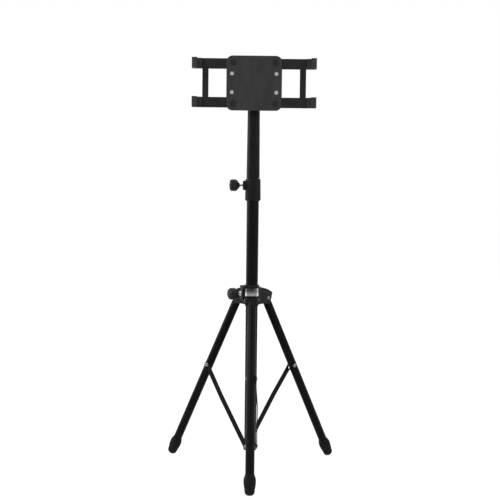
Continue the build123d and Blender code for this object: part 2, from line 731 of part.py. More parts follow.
def make_collar_bush():
    """The liner that guides the riser, standing on the mast's end."""
    with BuildPart() as bush:
        with BuildSketch(Plane.XY.offset(MAST_TOP)):
            Circle(MAST_R)
            Circle(RISER_HOLE_R, mode=Mode.SUBTRACT)
        extrude(amount=COLLAR_SHELF - MAST_TOP)
        with BuildSketch(axis_frame(180, 0, COLLAR_BOSS_Z)):
            Circle(SCREW_R + TUBE_GAP)
        extrude(amount=COLLAR_BOSS_FACE, mode=Mode.SUBTRACT)
    return bush


# Riser and neck


def make_inner_tube():
    with BuildPart() as tube:
        with BuildSketch(Plane.XY.offset(RISER_BOTTOM)):
            Circle(RISER_R)
            Circle(RISER_R - RISER_WALL, mode=Mode.SUBTRACT)
        extrude(amount=RISER_TOP - RISER_BOTTOM)
    return tube


def make_neck_sleeve():
    """The tapered grip round the riser's top, closed above and ending in the pan stud."""
    with BuildPart() as neck:
        with BuildSketch(Plane.XZ):
            with BuildLine():
                Polyline(
                    (RISER_R, NECK_BOTTOM),
                    (NECK_BOTTOM_R, NECK_BOTTOM),
                    (NECK_TOP_R, NECK_TOP),
                    (PAN_STUD_R, NECK_TOP),
                    (PAN_STUD_R, NECK_TOP + PAN_STUD_HEIGHT),
                    (0, NECK_TOP + PAN_STUD_HEIGHT),
                    (0, RISER_TOP),
                    (RISER_R, RISER_TOP),
                    close=True,
                )
            make_face()
        revolve(axis=Axis.Z)
    return neck


# Yoke and tilt block


def make_swivel_yoke():
    """A round base that turns on the pan stud, with two cheeks that hold the tilt bolt."""
    base_top = YOKE_BOTTOM + YOKE_BASE_HEIGHT
    with BuildPart() as yoke:
        with BuildSketch(Plane.XY.offset(YOKE_BOTTOM)):
            Circle(YOKE_BASE_R)
        extrude(amount=YOKE_BASE_HEIGHT)
        chamfer(yoke.edges().group_by(Axis.Z)[0], length=YOKE_BEVEL)
        for side in (1, -1):
            with BuildSketch(Plane.YZ.offset(side * CHEEK_INNER_X)):
                with Locations((0, TILT_Z)):
                    Circle(YOKE_CHEEK_R)
                with Locations((0, (TILT_Z + base_top - YOKE_CHEEK_ROOT) / 2)):
                    Rectangle(YOKE_CHEEK_R * 2, TILT_Z - base_top + YOKE_CHEEK_ROOT)
            extrude(amount=side * YOKE_CHEEK)
        with BuildSketch(Plane.XY.offset(YOKE_BOTTOM)):
            Circle(YOKE_BASE_R)
        extrude(amount=TILT_Z + YOKE_CHEEK_R + CUT - YOKE_BOTTOM, mode=Mode.INTERSECT)
        with BuildSketch(Plane.XY.offset(YOKE_BOTTOM)):
            Circle(PAN_STUD_R + PIN_GAP)
        extrude(amount=PAN_STUD_HEIGHT, mode=Mode.SUBTRACT)
        with BuildSketch(Plane.YZ.offset(-YOKE_BASE_R)):
            with Locations((0, TILT_Z)):
                Circle(TILT_BOLT_R)
        extrude(amount=YOKE_BASE_R * 2, mode=Mode.SUBTRACT)
    return yoke


def make_tilt_bolt():
    """The bolt through the cheeks, with its hexagon head at the left and its thread in the knob."""
    start = -CHEEK_OUTER_X - TILT_WASHER
    with BuildPart() as bolt:
        with BuildSketch(Plane.YZ.offset(start)):
            with Locations((0, TILT_Z)):
                RegularPolygon(TILT_HEAD_R, 6)
        extrude(amount=-TILT_HEAD_HEIGHT)
        with BuildSketch(Plane.YZ.offset(start)):
            with Locations((0, TILT_Z)):
                Circle(TILT_BOLT_R)
        extrude(amount=CHEEK_OUTER_X - start)
        with BuildSketch(Plane.YZ.offset(CHEEK_OUTER_X)):
            with Locations((0, TILT_Z)):
                Circle(SCREW_R - PIN_GAP)
        extrude(amount=TILT_KNOB_X + SCREW_IN_KNOB - CHEEK_OUTER_X - RUN_GAP)
    return bolt


def make_tilt_washers():
    """A washer outside each cheek."""
    with BuildPart() as washers:
        for side, hole_r in ((1, SCREW_R), (-1, TILT_BOLT_R)):
            with BuildSketch(Plane.YZ.offset(side * CHEEK_OUTER_X)):
                with Locations((0, TILT_Z)):
                    Circle(TILT_WASHER_R)
                    Circle(hole_r, mode=Mode.SUBTRACT)
            extrude(amount=side * TILT_WASHER)
    return washers


def make_tilt_block():
    """The block between the cheeks, with a neck forward to the round flange that the holder turns on."""
    with BuildPart() as block:
        with BuildSketch(Plane.YZ):
            with Locations((0, TILT_Z)):
                Circle(TILT_BLOCK_R)
            with Locations((SPIN_FACE_Y / 2, TILT_Z)):
                Rectangle(-SPIN_FACE_Y, TILT_BLOCK_R * 1.7)
        extrude(amount=TILT_BLOCK_WIDTH / 2, both=True)
        with BuildSketch(Plane.XZ.offset(-SPIN_FACE_Y - FLANGE_THICKNESS)):
            with Locations((0, TILT_Z)):
                Circle(FLANGE_R)
        extrude(amount=FLANGE_THICKNESS)
        with BuildSketch(Plane.YZ.offset(-TILT_BLOCK_WIDTH)):
            with Locations((0, TILT_Z)):
                Circle(TILT_BOLT_R + PIN_GAP)
        extrude(amount=TILT_BLOCK_WIDTH * 2, mode=Mode.SUBTRACT)
        with BuildSketch(Plane.XZ.offset(-SPIN_FACE_Y)):
            with Locations((0, TILT_Z)):
                Circle(SPIN_BOLT_R)
        extrude(amount=SPIN_FACE_Y + TILT_BLOCK_R, mode=Mode.SUBTRACT)
    return block


# Holder


def holder_plane(y):
    """An upright plane at a depth, seen from the front: x to the right and y up from the holder's centre."""
    return Plane(origin=(0, y, TILT_Z), x_dir=(1, 0, 0), z_dir=(0, -1, 0))


def make_holder_body():
    """The tray that guides the sliding brackets and turns on the tilt block's flange."""
    with BuildPart() as body:
        with BuildSketch(holder_plane(HOLDER_BACK_Y)):
            RectangleRounded(HOLDER_WIDTH, HOLDER_HEIGHT, HOLDER_CORNER)
        extrude(amount=HOLDER_DEPTH)
        channel = HOLDER_WIDTH / 2 - CHANNEL_INNER_X + CUT
        with BuildSketch(holder_plane(CHANNEL_BACK_Y)):
            for side in (1, -1):
                with Locations(
                    (side * (CHANNEL_INNER_X + channel / 2), CLAW_Z),
                    (side * (CHANNEL_INNER_X + channel / 2), -CLAW_Z),
                ):
                    Rectangle(channel, BRACKET_ARM_HEIGHT + 2 * RUN_GAP)
        extrude(amount=CHANNEL_BACK_Y - HOLDER_FRONT_Y + CUT, mode=Mode.SUBTRACT)
        with BuildSketch(holder_plane(CHANNEL_BACK_Y + FRICTION_PAD)):
            friction_outline()
        extrude(amount=FRICTION_PAD + CUT, mode=Mode.SUBTRACT)
        with BuildSketch(holder_plane(SPIN_HEAD_BACK_Y + SPIN_WASHER)):
            Circle(SPIN_HEAD_R + SPIN_WELL)
        extrude(amount=HOLDER_DEPTH, mode=Mode.SUBTRACT)
        with BuildSketch(holder_plane(0)):
            Circle(SPIN_BOLT_R + PIN_GAP)
        extrude(amount=-HOLDER_FRONT_Y, mode=Mode.SUBTRACT)
        with BuildSketch(holder_plane(HOLDER_FRONT_Y)):
            with GridLocations(2 * COVER_SCREW_X, 2 * COVER_SCREW_Z, 2, 2):
                Circle(COVER_SCREW_R)
        extrude(amount=COVER_SCREW_FLOOR - HOLDER_DEPTH, mode=Mode.SUBTRACT)
        fillet(body.faces().sort_by(Axis.Y)[-1].outer_wire().edges(), radius=HOLDER_EDGE_R)
    return body


def friction_outline():
    """The four friction pads' places, under the brackets' arms."""
    inset = HOLDER_WIDTH / 2 - FRICTION_PAD_LENGTH / 2 - FRICTION_PAD_INSET
    with GridLocations(2 * inset, CLAW_PITCH, 2, 2):
        Rectangle(FRICTION_PAD_LENGTH, FRICTION_PAD_HEIGHT)


def make_friction_pads():
    with BuildPart() as pads:
        with BuildSketch(holder_plane(CHANNEL_BACK_Y + FRICTION_PAD)):
            friction_outline()
        extrude(amount=FRICTION_PAD)
    return pads


def make_holder_cover():
    with BuildPart() as cover:
        with BuildSketch(holder_plane(HOLDER_FRONT_Y)):
            RectangleRounded(HOLDER_WIDTH, HOLDER_HEIGHT, HOLDER_CORNER)
        extrude(amount=COVER_THICKNESS)
        chamfer(cover.faces().sort_by(Axis.Y)[0].outer_wire().edges(), length=COVER_BEVEL)
        with BuildSketch(holder_plane(HOLDER_FRONT_Y)):
            with GridLocations(2 * COVER_SCREW_X, 2 * COVER_SCREW_Z, 2, 2):
                Circle(COVER_SCREW_R)
        extrude(amount=COVER_THICKNESS, mode=Mode.SUBTRACT)
        head = COVER_SCREW_HEAD_R - COVER_SCREW_R
        with BuildSketch(holder_plane(COVER_FRONT_Y + head)):
            with GridLocations(2 * COVER_SCREW_X, 2 * COVER_SCREW_Z, 2, 2):
                Circle(COVER_SCREW_R)
        extrude(amount=head, taper=-45, mode=Mode.SUBTRACT)
    return cover


def make_cover_screws():
    """Four countersunk screws that hold the cover on the body."""
    head = COVER_SCREW_HEAD_R - COVER_SCREW_R
    with BuildPart() as screws:
        with BuildSketch(holder_plane(COVER_FRONT_Y + head)):
            with GridLocations(2 * COVER_SCREW_X, 2 * COVER_SCREW_Z, 2, 2):
                Circle(COVER_SCREW_R)
        extrude(amount=head, taper=-45)
        with BuildSketch(holder_plane(COVER_FRONT_Y + head)):
            with GridLocations(2 * COVER_SCREW_X, 2 * COVER_SCREW_Z, 2, 2):
                Circle(COVER_SCREW_R)
        extrude(amount=COVER_SCREW_FLOOR + COVER_SCREW_END - HOLDER_DEPTH)
        with BuildSketch(holder_plane(COVER_FRONT_Y)):
            with GridLocations(2 * COVER_SCREW_X, 2 * COVER_SCREW_Z, 2, 2):
                Rectangle(RECESS_LENGTH, RECESS_WIDTH)
                Rectangle(RECESS_WIDTH, RECESS_LENGTH)
        extrude(amount=-RECESS_DEPTH, mode=Mode.SUBTRACT)
    return screws


def make_rest_pads():
    """Four rubber buttons that the device's back rests on."""
    with BuildPart() as pads:
        with BuildSketch(holder_plane(COVER_FRONT_Y)):
            with GridLocations(2 * REST_PAD_X, 2 * REST_PAD_Z, 2, 2):
                Circle(REST_PAD_R)
        extrude(amount=REST_PAD_HEIGHT)
        chamfer(pads.edges().group_by(Axis.Y)[0], length=REST_PAD_BEVEL)
    return pads


def make_spin_bolt():
    """The bolt that the holder turns on, fixed in the tilt block."""
    with BuildPart() as bolt:
        with BuildSketch(holder_plane(SPIN_HEAD_BACK_Y)):
            Circle(SPIN_HEAD_R)
        extrude(amount=SPIN_HEAD_HEIGHT)
        with BuildSketch(holder_plane(SPIN_HEAD_BACK_Y)):
            Circle(SPIN_BOLT_R)
        extrude(amount=SPIN_HEAD_BACK_Y + TILT_BLOCK_R)
        with BuildSketch(holder_plane(SPIN_HEAD_BACK_Y - SPIN_HEAD_HEIGHT)):
            Rectangle(SPIN_HEAD_R * 1.4, SPIN_SLOT_WIDTH)
        extrude(amount=-SPIN_SLOT_DEPTH, mode=Mode.SUBTRACT)
    return bolt


def make_spin_washer():
    with BuildPart() as washer:
        with BuildSketch(holder_plane(SPIN_HEAD_BACK_Y + SPIN_WASHER - PIN_GAP)):
            Circle(SPIN_HEAD_R + SPIN_WASHER_RIM)
            Circle(SPIN_BOLT_R, mode=Mode.SUBTRACT)
        extrude(amount=SPIN_WASHER - PIN_GAP)
    return washer


# Sliding brackets


def make_bracket(side):
    """A C-shaped plate: two arms in the holder's channels, joined by an upright bar."""
    arm = CLAW_INNER_X - BRACKET_ARM_INNER_X
    with BuildPart() as plate:
        with BuildSketch(holder_plane(ARM_BACK_Y)):
            for level in (CLAW_Z, -CLAW_Z):
                with Locations((side * (BRACKET_ARM_INNER_X + arm / 2), level)):
                    Rectangle(arm, BRACKET_ARM_HEIGHT)
            with Locations((side * BRACKET_BAR_X, 0)):
                Rectangle(BRACKET_BAR_WIDTH, CLAW_PITCH)
        extrude(amount=BRACKET_ARM_THICKNESS)
        with BuildSketch(holder_plane(ARM_BACK_Y)):
            for level in (CLAW_Z, -CLAW_Z):
                with Locations((side * CLAW_SCREW_X, level)):
                    Circle(CLAW_SCREW_R)
        extrude(amount=BRACKET_ARM_THICKNESS, mode=Mode.SUBTRACT)
    return plate


def make_claws(side):
    """Two moulded hooks on the bracket's arm ends: back wall, side wall and front lip."""
    with BuildPart() as claws:
        for level in (CLAW_Z, -CLAW_Z):
            low = TILT_Z + level - CLAW_HEIGHT / 2
            with BuildSketch(Plane.XY.offset(low)):
                with BuildLine():
                    Polyline(
                        (side * CLAW_INNER_X, ARM_BACK_Y),
                        (side * CLAW_OUTER_X, ARM_BACK_Y),
                        (side * CLAW_OUTER_X, CLAW_FRONT_Y),
                        (side * (CLAW_INNER_X - CLAW_LIP), CLAW_FRONT_Y),
                        (side * (CLAW_INNER_X - CLAW_LIP), CLAW_LIP_Y),
                        (side * CLAW_INNER_X, CLAW_LIP_Y),
                        (side * CLAW_INNER_X, CLAW_BACK_Y),
                        (side * (CLAW_INNER_X - CLAW_BACK_LENGTH), CLAW_BACK_Y),
                        (side * (CLAW_INNER_X - CLAW_BACK_LENGTH), ARM_FRONT_Y),
                        (side * CLAW_INNER_X, ARM_FRONT_Y),
                        close=True,
                    )
                make_face()
            extrude(amount=CLAW_HEIGHT)
        outer = claws.edges().filter_by(Axis.Z).group_by(Axis.X)[0 if side < 0 else -1]
        fillet(outer, radius=CLAW_EDGE_R)
        with BuildSketch(holder_plane(ARM_FRONT_Y)):
            for level in (CLAW_Z, -CLAW_Z):
                with Locations((side * CLAW_SCREW_X, level)):
                    Circle(CLAW_SCREW_R)
        extrude(amount=CLAW_BACK - CLAW_SKIN, mode=Mode.SUBTRACT)
    return claws


def make_claw_pads(side):
    """The rubber liners that touch the device's edge."""
    with BuildPart() as pads:
        for level in (CLAW_Z, -CLAW_Z):
            with BuildSketch(holder_plane(CLAW_BACK_Y)):
                with Locations((side * (CLAW_INNER_X - CLAW_PAD / 2), level)):
                    Rectangle(CLAW_PAD, CLAW_HEIGHT - 2 * CLAW_PAD_INSET)
            extrude(amount=CLAW_BACK_Y - CLAW_LIP_Y)
    return pads


def make_claw_screws(side):
    """The screws that hold the claws, put in from behind."""
    with BuildPart() as screws:
        with BuildSketch(holder_plane(ARM_BACK_Y)):
            for level in (CLAW_Z, -CLAW_Z):
                with Locations((side * CLAW_SCREW_X, level)):
                    Circle(CLAW_SCREW_R)
        extrude(amount=BRACKET_ARM_THICKNESS + CLAW_BACK - CLAW_SKIN)
        with BuildSketch(holder_plane(ARM_BACK_Y)):
            for level in (CLAW_Z, -CLAW_Z):
                with Locations((side * CLAW_SCREW_X, level)):
                    Circle(CLAW_SCREW_HEAD_R)
        extrude(amount=-CLAW_SCREW_HEAD)
    return screws


os.makedirs("parts", exist_ok=True)

save(make_mast_tube(), "mast_tube")
save(make_bottom_bracket(), "bottom_bracket")
save(make_bracket_rivets(), "bracket_rivets")
save(make_collar_clamp(), "collar_clamp")
save(make_collar_bush(), "collar_bush")
save(make_nut(axis_frame(180, COLLAR_BOSS_FACE - NUT_HEIGHT, COLLAR_BOSS_Z)), "collar_nut")

collar_screw_length = COLLAR_KNOB_FACE + SCREW_IN_KNOB - RISER_HOLE_R
save(make_screw(axis_frame(180, RISER_HOLE_R, COLLAR_BOSS_Z), collar_screw_length), "collar_screw")
save(make_knob(axis_frame(180, COLLAR_KNOB_FACE, COLLAR_BOSS_Z)), "collar_knob")

save(make_hub_body(), "hub_body")
save(make_ring(HUB_TOP, HUB_CAP_HEIGHT, MAST_R + RUN_GAP, HUB_CAP_OD / 2, HUB_CAP_BEVEL), "hub_cap")
save(make_hub_bush(), "hub_bush")
save(make_hub_label(), "hub_label")
save(make_hub_pins(), "hub_pins")
hub_nut_seat = HUB_BOSS_R - NUT_HEIGHT / 2
save(make_nut(axis_frame(HUB_KNOB_AZIMUTH, hub_nut_seat, HUB_KNOB_Z)), "hub_nut")
hub_screw_start = MAST_R + RUN_GAP
hub_screw_length = HUB_KNOB_R + SCREW_IN_KNOB - hub_screw_start
save(make_screw(axis_frame(HUB_KNOB_AZIMUTH, hub_screw_start, HUB_KNOB_Z), hub_screw_length), "hub_screw")
save(make_knob(axis_frame(HUB_KNOB_AZIMUTH, HUB_KNOB_R, HUB_KNOB_Z)), "hub_knob")

for leg, leg_azimuth in LEG_AZIMUTHS.items():
    leg_axes = leg_frame(leg_azimuth)
    save(make_leg_tube(leg_axes), f"{leg}_leg_tube")
    save(make_leg_knuckle(leg_axes), f"{leg}_leg_knuckle")
    save(make_foot(leg_axes), f"{leg}_foot")
    save(make_brace_rivet(leg_axes), f"{leg}_brace_rivet")
    save(make_brace(brace_frame(leg_azimuth)), f"{leg}_brace")

save(make_inner_tube(), "inner_tube")
save(make_ring(RISER_BOTTOM, RISER_BUSH_HEIGHT, RISER_R, MAST_BORE_R - TUBE_GAP), "inner_bush")
save(make_neck_sleeve(), "neck_sleeve")

save(make_swivel_yoke(), "swivel_yoke")
save(make_tilt_bolt(), "tilt_bolt")
save(make_tilt_washers(), "tilt_washers")
save(make_knob(Plane(origin=(TILT_KNOB_X, 0, TILT_Z), x_dir=(0, 0, 1), z_dir=(1, 0, 0))), "tilt_knob")
save(make_tilt_block(), "tilt_block")
save(make_spin_bolt(), "spin_bolt")
save(make_spin_washer(), "spin_washer")

save(make_holder_body(), "holder_body")
save(make_holder_cover(), "holder_cover")
save(make_cover_screws(), "cover_screws")
save(make_rest_pads(), "rest_pads")
save(make_friction_pads(), "friction_pads")

for hand, hand_side in (("left", -1), ("right", 1)):
    save(make_bracket(hand_side), f"{hand}_bracket")
    save(make_claws(hand_side), f"{hand}_claws")
    save(make_claw_pads(hand_side), f"{hand}_claw_pads")
    save(make_claw_screws(hand_side), f"{hand}_claw_screws")
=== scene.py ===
"""Looks of the folding tripod stand: every visible surface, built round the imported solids.

Sizes are in millimetres until a mesh is made, in the frame of the solids: the floor is z = 0, the mast
stands on the z axis and the front leg points to -Y.
"""

import json
import logging
from dataclasses import dataclass, field
from enum import Enum
from functools import reduce
from operator import add
from typing import Any

import bmesh
import bpy
import numpy as np
from mathutils import Matrix
from numpy.typing import NDArray

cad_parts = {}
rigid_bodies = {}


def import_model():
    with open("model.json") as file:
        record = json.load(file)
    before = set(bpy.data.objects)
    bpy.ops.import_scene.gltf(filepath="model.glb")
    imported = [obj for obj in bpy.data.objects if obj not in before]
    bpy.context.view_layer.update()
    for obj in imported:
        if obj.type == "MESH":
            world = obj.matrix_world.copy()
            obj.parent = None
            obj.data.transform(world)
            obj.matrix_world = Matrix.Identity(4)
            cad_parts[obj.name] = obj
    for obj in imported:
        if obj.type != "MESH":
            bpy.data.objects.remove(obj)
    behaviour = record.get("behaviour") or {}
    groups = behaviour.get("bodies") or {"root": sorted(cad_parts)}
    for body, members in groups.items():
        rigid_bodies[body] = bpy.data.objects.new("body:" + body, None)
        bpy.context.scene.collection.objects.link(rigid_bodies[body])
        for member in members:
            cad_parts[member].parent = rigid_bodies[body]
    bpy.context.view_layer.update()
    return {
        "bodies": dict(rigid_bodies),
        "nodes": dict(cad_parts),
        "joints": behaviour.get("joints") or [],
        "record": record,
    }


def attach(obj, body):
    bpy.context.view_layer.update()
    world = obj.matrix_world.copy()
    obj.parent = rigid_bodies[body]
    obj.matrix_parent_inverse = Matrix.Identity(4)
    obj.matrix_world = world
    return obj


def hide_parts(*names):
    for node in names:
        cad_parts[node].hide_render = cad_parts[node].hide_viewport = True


Array = NDArray[np.float64]
Triple = tuple[float, float, float]

MM = 0.001
TURN = 2 * np.pi
POLE_R = 0.04
HINGE_RADIUS = 26.0
HINGE_HEIGHT = 287.0
HEAD_HEIGHT = 640.0
RIM_SHARE = 0.22
RIM_TUCK = 0.985
CROWN_POWER = 0.9
THREAD_DEPTH = 0.42
THREAD_ROWS = 8
THREAD_SLOPE = 1.3
THREAD_CREST = 0.15
LEAD_IN = 0.5
LOG = logging.getLogger("tripod_stand")
EAST = np.array([1.0, 0.0, 0.0])
NORTH = np.array([0.0, 1.0, 0.0])
UP = np.array([0.0, 0.0, 1.0])


class Slot(Enum):
    """The record's material slots, one finish each."""

    TUBE = "tube_black"
    BRACE = "brace_black"
    SLEEVE = "sleeve_black"
    HUB = "hub_black"
    KNOB = "knob_black"
    HOLDER = "holder_black"
    CLAW = "claw_black"
    PLATE = "plate_black"
    FOOT = "foot_rubber"
    PAD = "pad_rubber"
    LINER = "liner_plastic"
    LABEL = "label_silver"
    RIVET = "rivet_nickel"
    ZINC = "zinc_steel"


class Side(Enum):
    """A side of the stand, whose name the nodes spell in small letters."""

    @property
    def word(self) -> str:
        """The side's name as the nodes spell it."""
        return self.name.lower()


class Heading(Side):
    """The three legs, by the azimuth in degrees that each one points to."""

    FRONT = -90.0
    RIGHT = 30.0
    LEFT = 150.0

    @property
    def outward(self) -> Array:
        """Level direction away from the mast."""
        return level(self.value)

    @property
    def sideways(self) -> Array:
        """Level direction a quarter turn on from outward."""
        return level(self.value + 90)


class Hand(Side):
    """The two gripping arms, by the sign of their x."""

    LEFT = -1.0
    RIGHT = 1.0


def level(azimuth: float) -> Array:
    """The level unit vector at an azimuth in degrees: cosine along x and sine along y."""
    return np.array([np.cos(np.radians(azimuth)), np.sin(np.radians(azimuth)), 0.0])


@dataclass(frozen=True)
class Axes:
    """A local frame: an origin in millimetres and three unit directions."""

    origin: Array
    x: Array
    y: Array
    z: Array

    @classmethod
    def along(cls, origin: Array, z: Array, x: Array) -> "Axes":
        """A frame with a given z and a given x, whose y is z cross x.

        Args:
            origin: Where the frame sits, in millimetres.
            z: Its long direction, a unit vector.
            x: A unit vector square to z.

        Returns:
            The frame.
        """
        return cls(np.asarray(origin, float), x, np.cross(z, x), z)

    def shifted(self, distance: float) -> "Axes":
        """The same frame, moved along its z."""
        return Axes(self.origin + self.z * distance, self.x, self.y, self.z)

    def place(self, local: Array) -> Array:
        """Local points to row-frame points: the origin plus each coordinate times its direction.

        Args:
            local: Points of shape (..., 3), in millimetres.

        Returns:
            The same points in the row frame, in millimetres.
        """
        return self.origin + local[..., :1] * self.x + local[..., 1:2] * self.y + local[..., 2:] * self.z


@dataclass
class Surface:
    """Points in millimetres and the faces between them."""

    points: Array
    faces: list[list[int]]

    def __add__(self, other: "Surface") -> "Surface":
        """Both surfaces in one, the second one's numbers shifted past the first's.

        Args:
            other: The surface to add.

        Returns:
            Both as one surface.
        """
        shift = len(self.points)
        moved = [[corner + shift for corner in face] for face in other.faces]
        return Surface(np.vstack([self.points, other.points]), self.faces + moved)


UPRIGHT = Axes.along(np.zeros(3), UP, EAST)


def skin(grid: Array, wall: bool = False) -> Surface:
    """Quads over a grid whose columns close on themselves.

    Quad (i, j) joins points (i, j), (i, j+1), (i+1, j+1) and (i+1, j). The last row joins the first on a
    wall, and otherwise a face closes each end.

    Args:
        grid: Points of shape (rows, columns, 3).
        wall: Whether the rows close on themselves too, as round a tube's wall.

    Returns:
        The closed surface.
    """
    rows, columns, _ = grid.shape
    row = np.arange(rows if wall else rows - 1)[:, None]
    column = np.arange(columns)[None, :]
    next_row = (row + 1) % rows
    next_column = (column + 1) % columns
    corners = [
        row * columns + column,
        row * columns + next_column,
        next_row * columns + next_column,
        next_row * columns + column,
    ]
    faces = np.stack(corners, axis=-1).reshape(-1, 4).tolist()
    if not wall:
        faces.append(list(range(columns))[::-1])
        faces.append(list(range((rows - 1) * columns, rows * columns)))
    return Surface(grid.reshape(-1, 3), faces)


def eased(corners: Any, radius: Any, steps: int = 4, closed: bool = False) -> Array:
    """Rounds the corners of a profile.

    At each corner P the path leaves its two sides at A and B, a radius away from P, and between them it
    follows (1 - s)^2 A + 2 s (1 - s) P + s^2 B as s goes from 0 to 1.

    Args:
        corners: Points of shape (n, 2) or (n, 3).
        radius: One distance, or one for each corner.
        steps: Points on each corner.
        closed: Whether the last corner joins the first.

    Returns:
        The rounded path, with no point twice.
    """
    point = np.asarray(corners, float)
    before = np.roll(point, 1, axis=0) - point
    after = np.roll(point, -1, axis=0) - point
    reach_before = np.maximum(np.linalg.norm(before, axis=1), 1e-9)
    reach_after = np.maximum(np.linalg.norm(after, axis=1), 1e-9)
    cut = np.minimum(np.broadcast_to(radius, len(point)), 0.49 * np.minimum(reach_before, reach_after))
    if not closed:
        cut[[0, -1]] = 0.0
    start = (point + before * (cut / reach_before)[:, None])[:, None]
    end = (point + after * (cut / reach_after)[:, None])[:, None]
    s = np.linspace(0, 1, steps)[None, :, None]
    path = (1 - s) ** 2 * start + 2 * s * (1 - s) * point[:, None] + s**2 * end
    path = path.reshape(-1, point.shape[1])
    keep = np.append(True, np.linalg.norm(np.diff(path, axis=0), axis=1) > 1e-6)
    return path[keep]


def hexed(radius: Array, angle: Array) -> Array:
    """A hexagon's outline: its half width over the cosine of the angle from the nearest flat's middle."""
    sixth = TURN / 6
    return radius / np.cos((angle + sixth / 2) % sixth - sixth / 2)


def moulded(rows: list[Triple], steps: int) -> Array:
    """A rounded profile from rows of radius, height and how far that corner is rounded."""
    table = np.array(rows, float)
    return eased(table[:, :2], table[:, 2], steps)


def around(columns: int) -> Array:
    """Equal angles over one turn, side by side."""
    return np.linspace(0, TURN, columns, endpoint=False)[None, :]


def round_grid(radius: Array, angle: Array, height: Array) -> Array:
    """Points at radius cos a, radius sin a and a height, for every angle a and every row."""
    return np.stack(np.broadcast_arrays(radius * np.cos(angle), radius * np.sin(angle), height), axis=-1)


def turned(
    axes: Axes,
    profile: Any,
    columns: int = 64,
    wall: bool = False,
    flats: Any = None,
    limit: Any = None,
) -> Surface:
    """A profile turned about an axis.

    Point (i, j) lies at radius r_i and height h_i and at the angle 2 pi j / columns. On rows marked as
    flats the radius is that of a hexagon of half width r_i, and no more than limit_i.

    Args:
        axes: The axis is its z.
        profile: Radius and height of each row, shape (n, 2).
        columns: Points round the axis.
        wall: Whether the profile is a closed loop.
        flats: For each row, whether it is hexagonal.
        limit: For each row, the largest radius.

    Returns:
        The turned surface.
    """
    rows = np.asarray(profile, float)
    angle = around(columns)
    radius = rows[:, :1] * np.ones_like(angle)
    if flats is not None:
        radius = np.where(np.asarray(flats)[:, None], hexed(radius, angle), radius)
    if limit is not None:
        radius = np.minimum(radius, np.asarray(limit, float)[:, None])
    return skin(axes.place(round_grid(radius, angle, rows[:, 1:])), wall)


def pipe(axes: Axes, outer: float, inner: float, start: float, end: float, ease: float = 0.3) -> Surface:
    """A tube: its wall's rectangle, with eased corners, turned about the axis.

    Args:
        axes: The axis is its z.
        outer: Outer radius.
        inner: Bore radius.
        start: Height of one end.
        end: Height of the other.
        ease: How far the corners are rounded.

    Returns:
        The tube's closed wall.
    """
    corners = [(outer, start), (outer, end), (inner, end), (inner, start)]
    return turned(axes, eased(corners, ease, closed=True), wall=True)


def dome(radius: float, height: float, seat: float, steps: int = 9) -> Array:
    """A rivet head's profile from rim to crown: a short rim, then (cos a)^0.9 out and sin a up.

    Args:
        radius: The rim's radius.
        height: The crown's height over the seat.
        seat: Where the head starts along the axis.
        steps: Points on the arc.

    Returns:
        Rows of radius and height.
    """
    rim = RIM_SHARE * height
    a = np.linspace(0.0, np.pi / 2 - 0.02, steps)
    arc = np.column_stack([radius * np.cos(a) ** CROWN_POWER, seat + rim + (height - rim) * np.sin(a)])
    return np.vstack([[radius * RIM_TUCK, seat], arc])


def flipped(profile: Array) -> Array:
    """A profile mirrored in height and read backwards, so that it still goes up."""
    return np.column_stack([profile[:, 0], -profile[:, 1]])[::-1]


def carried(path: Array, normal: Array, across: Array, section: Array) -> Surface:
    """A closed section carried along a path.

    Point (i, k) is path_i plus section_k's first number along across and its second along normal_i.

    Args:
        path: Points of shape (n, 3).
        normal: The section's second direction at each point, shape (n, 3).
        across: Its first direction, the same all along.
        section: Rows of two offsets, a closed loop.

    Returns:
        The closed surface.
    """
    grid = path[:, None] + section[None, :, :1] * across + section[None, :, 1:] * normal[:, None]
    return skin(grid)


def thread(axes: Axes, radius: float, start: float, end: float, pitch: float = 0.8) -> Surface:
    """A threaded stud.

    The radius falls from the crest by the depth times a triangle wave of height / pitch - angle / 2 pi,
    cut flat at crest and root. Within the lead-in of an end it also falls by what is left of the lead-in.

    Args:
        axes: The stud's axis is its z.
        radius: Crest radius.
        start: Height of the stud's tip.
        end: Height of its other end.
        pitch: Distance from crest to crest.

    Returns:
        The closed stud.
    """
    depth = THREAD_DEPTH * pitch
    height = np.linspace(start, end, int((end - start) / pitch * THREAD_ROWS))[:, None]
    angle = around(36)
    wave = np.abs(2 * ((height / pitch - angle / TURN) % 1.0) - 1)
    tip = np.maximum(LEAD_IN - np.minimum(height - start, end - height), 0.0)
    r = radius - depth * np.clip(THREAD_SLOPE * wave - THREAD_CREST, 0, 1) - tip
    return skin(axes.place(round_grid(r, angle, height)))


def at_each_leg(radial: float, height: float, profile: Array) -> Surface:
    """A profile turned about a level crosswise axis at each of the three legs.

    Args:
        radial: The axis's distance from the mast's axis.
        height: Its height over the floor.
        profile: Radius and height of each row.

    Returns:
        The three turned surfaces in one.
    """
    made = []
    for heading in Heading:
        centre = heading.outward * radial + UP * height
        made.append(turned(Axes.along(centre, heading.sideways, UP), profile, 48))
    return reduce(add, made)


# Finishes


def empty_material(name: str) -> bpy.types.Material:
    """A material with a tree that has no nodes yet.

    Args:
        name: The material's name.

    Returns:
        The material.
    """
    made = bpy.data.materials.new(name)
    made.use_nodes = True
    made.node_tree.nodes.clear()
    return made


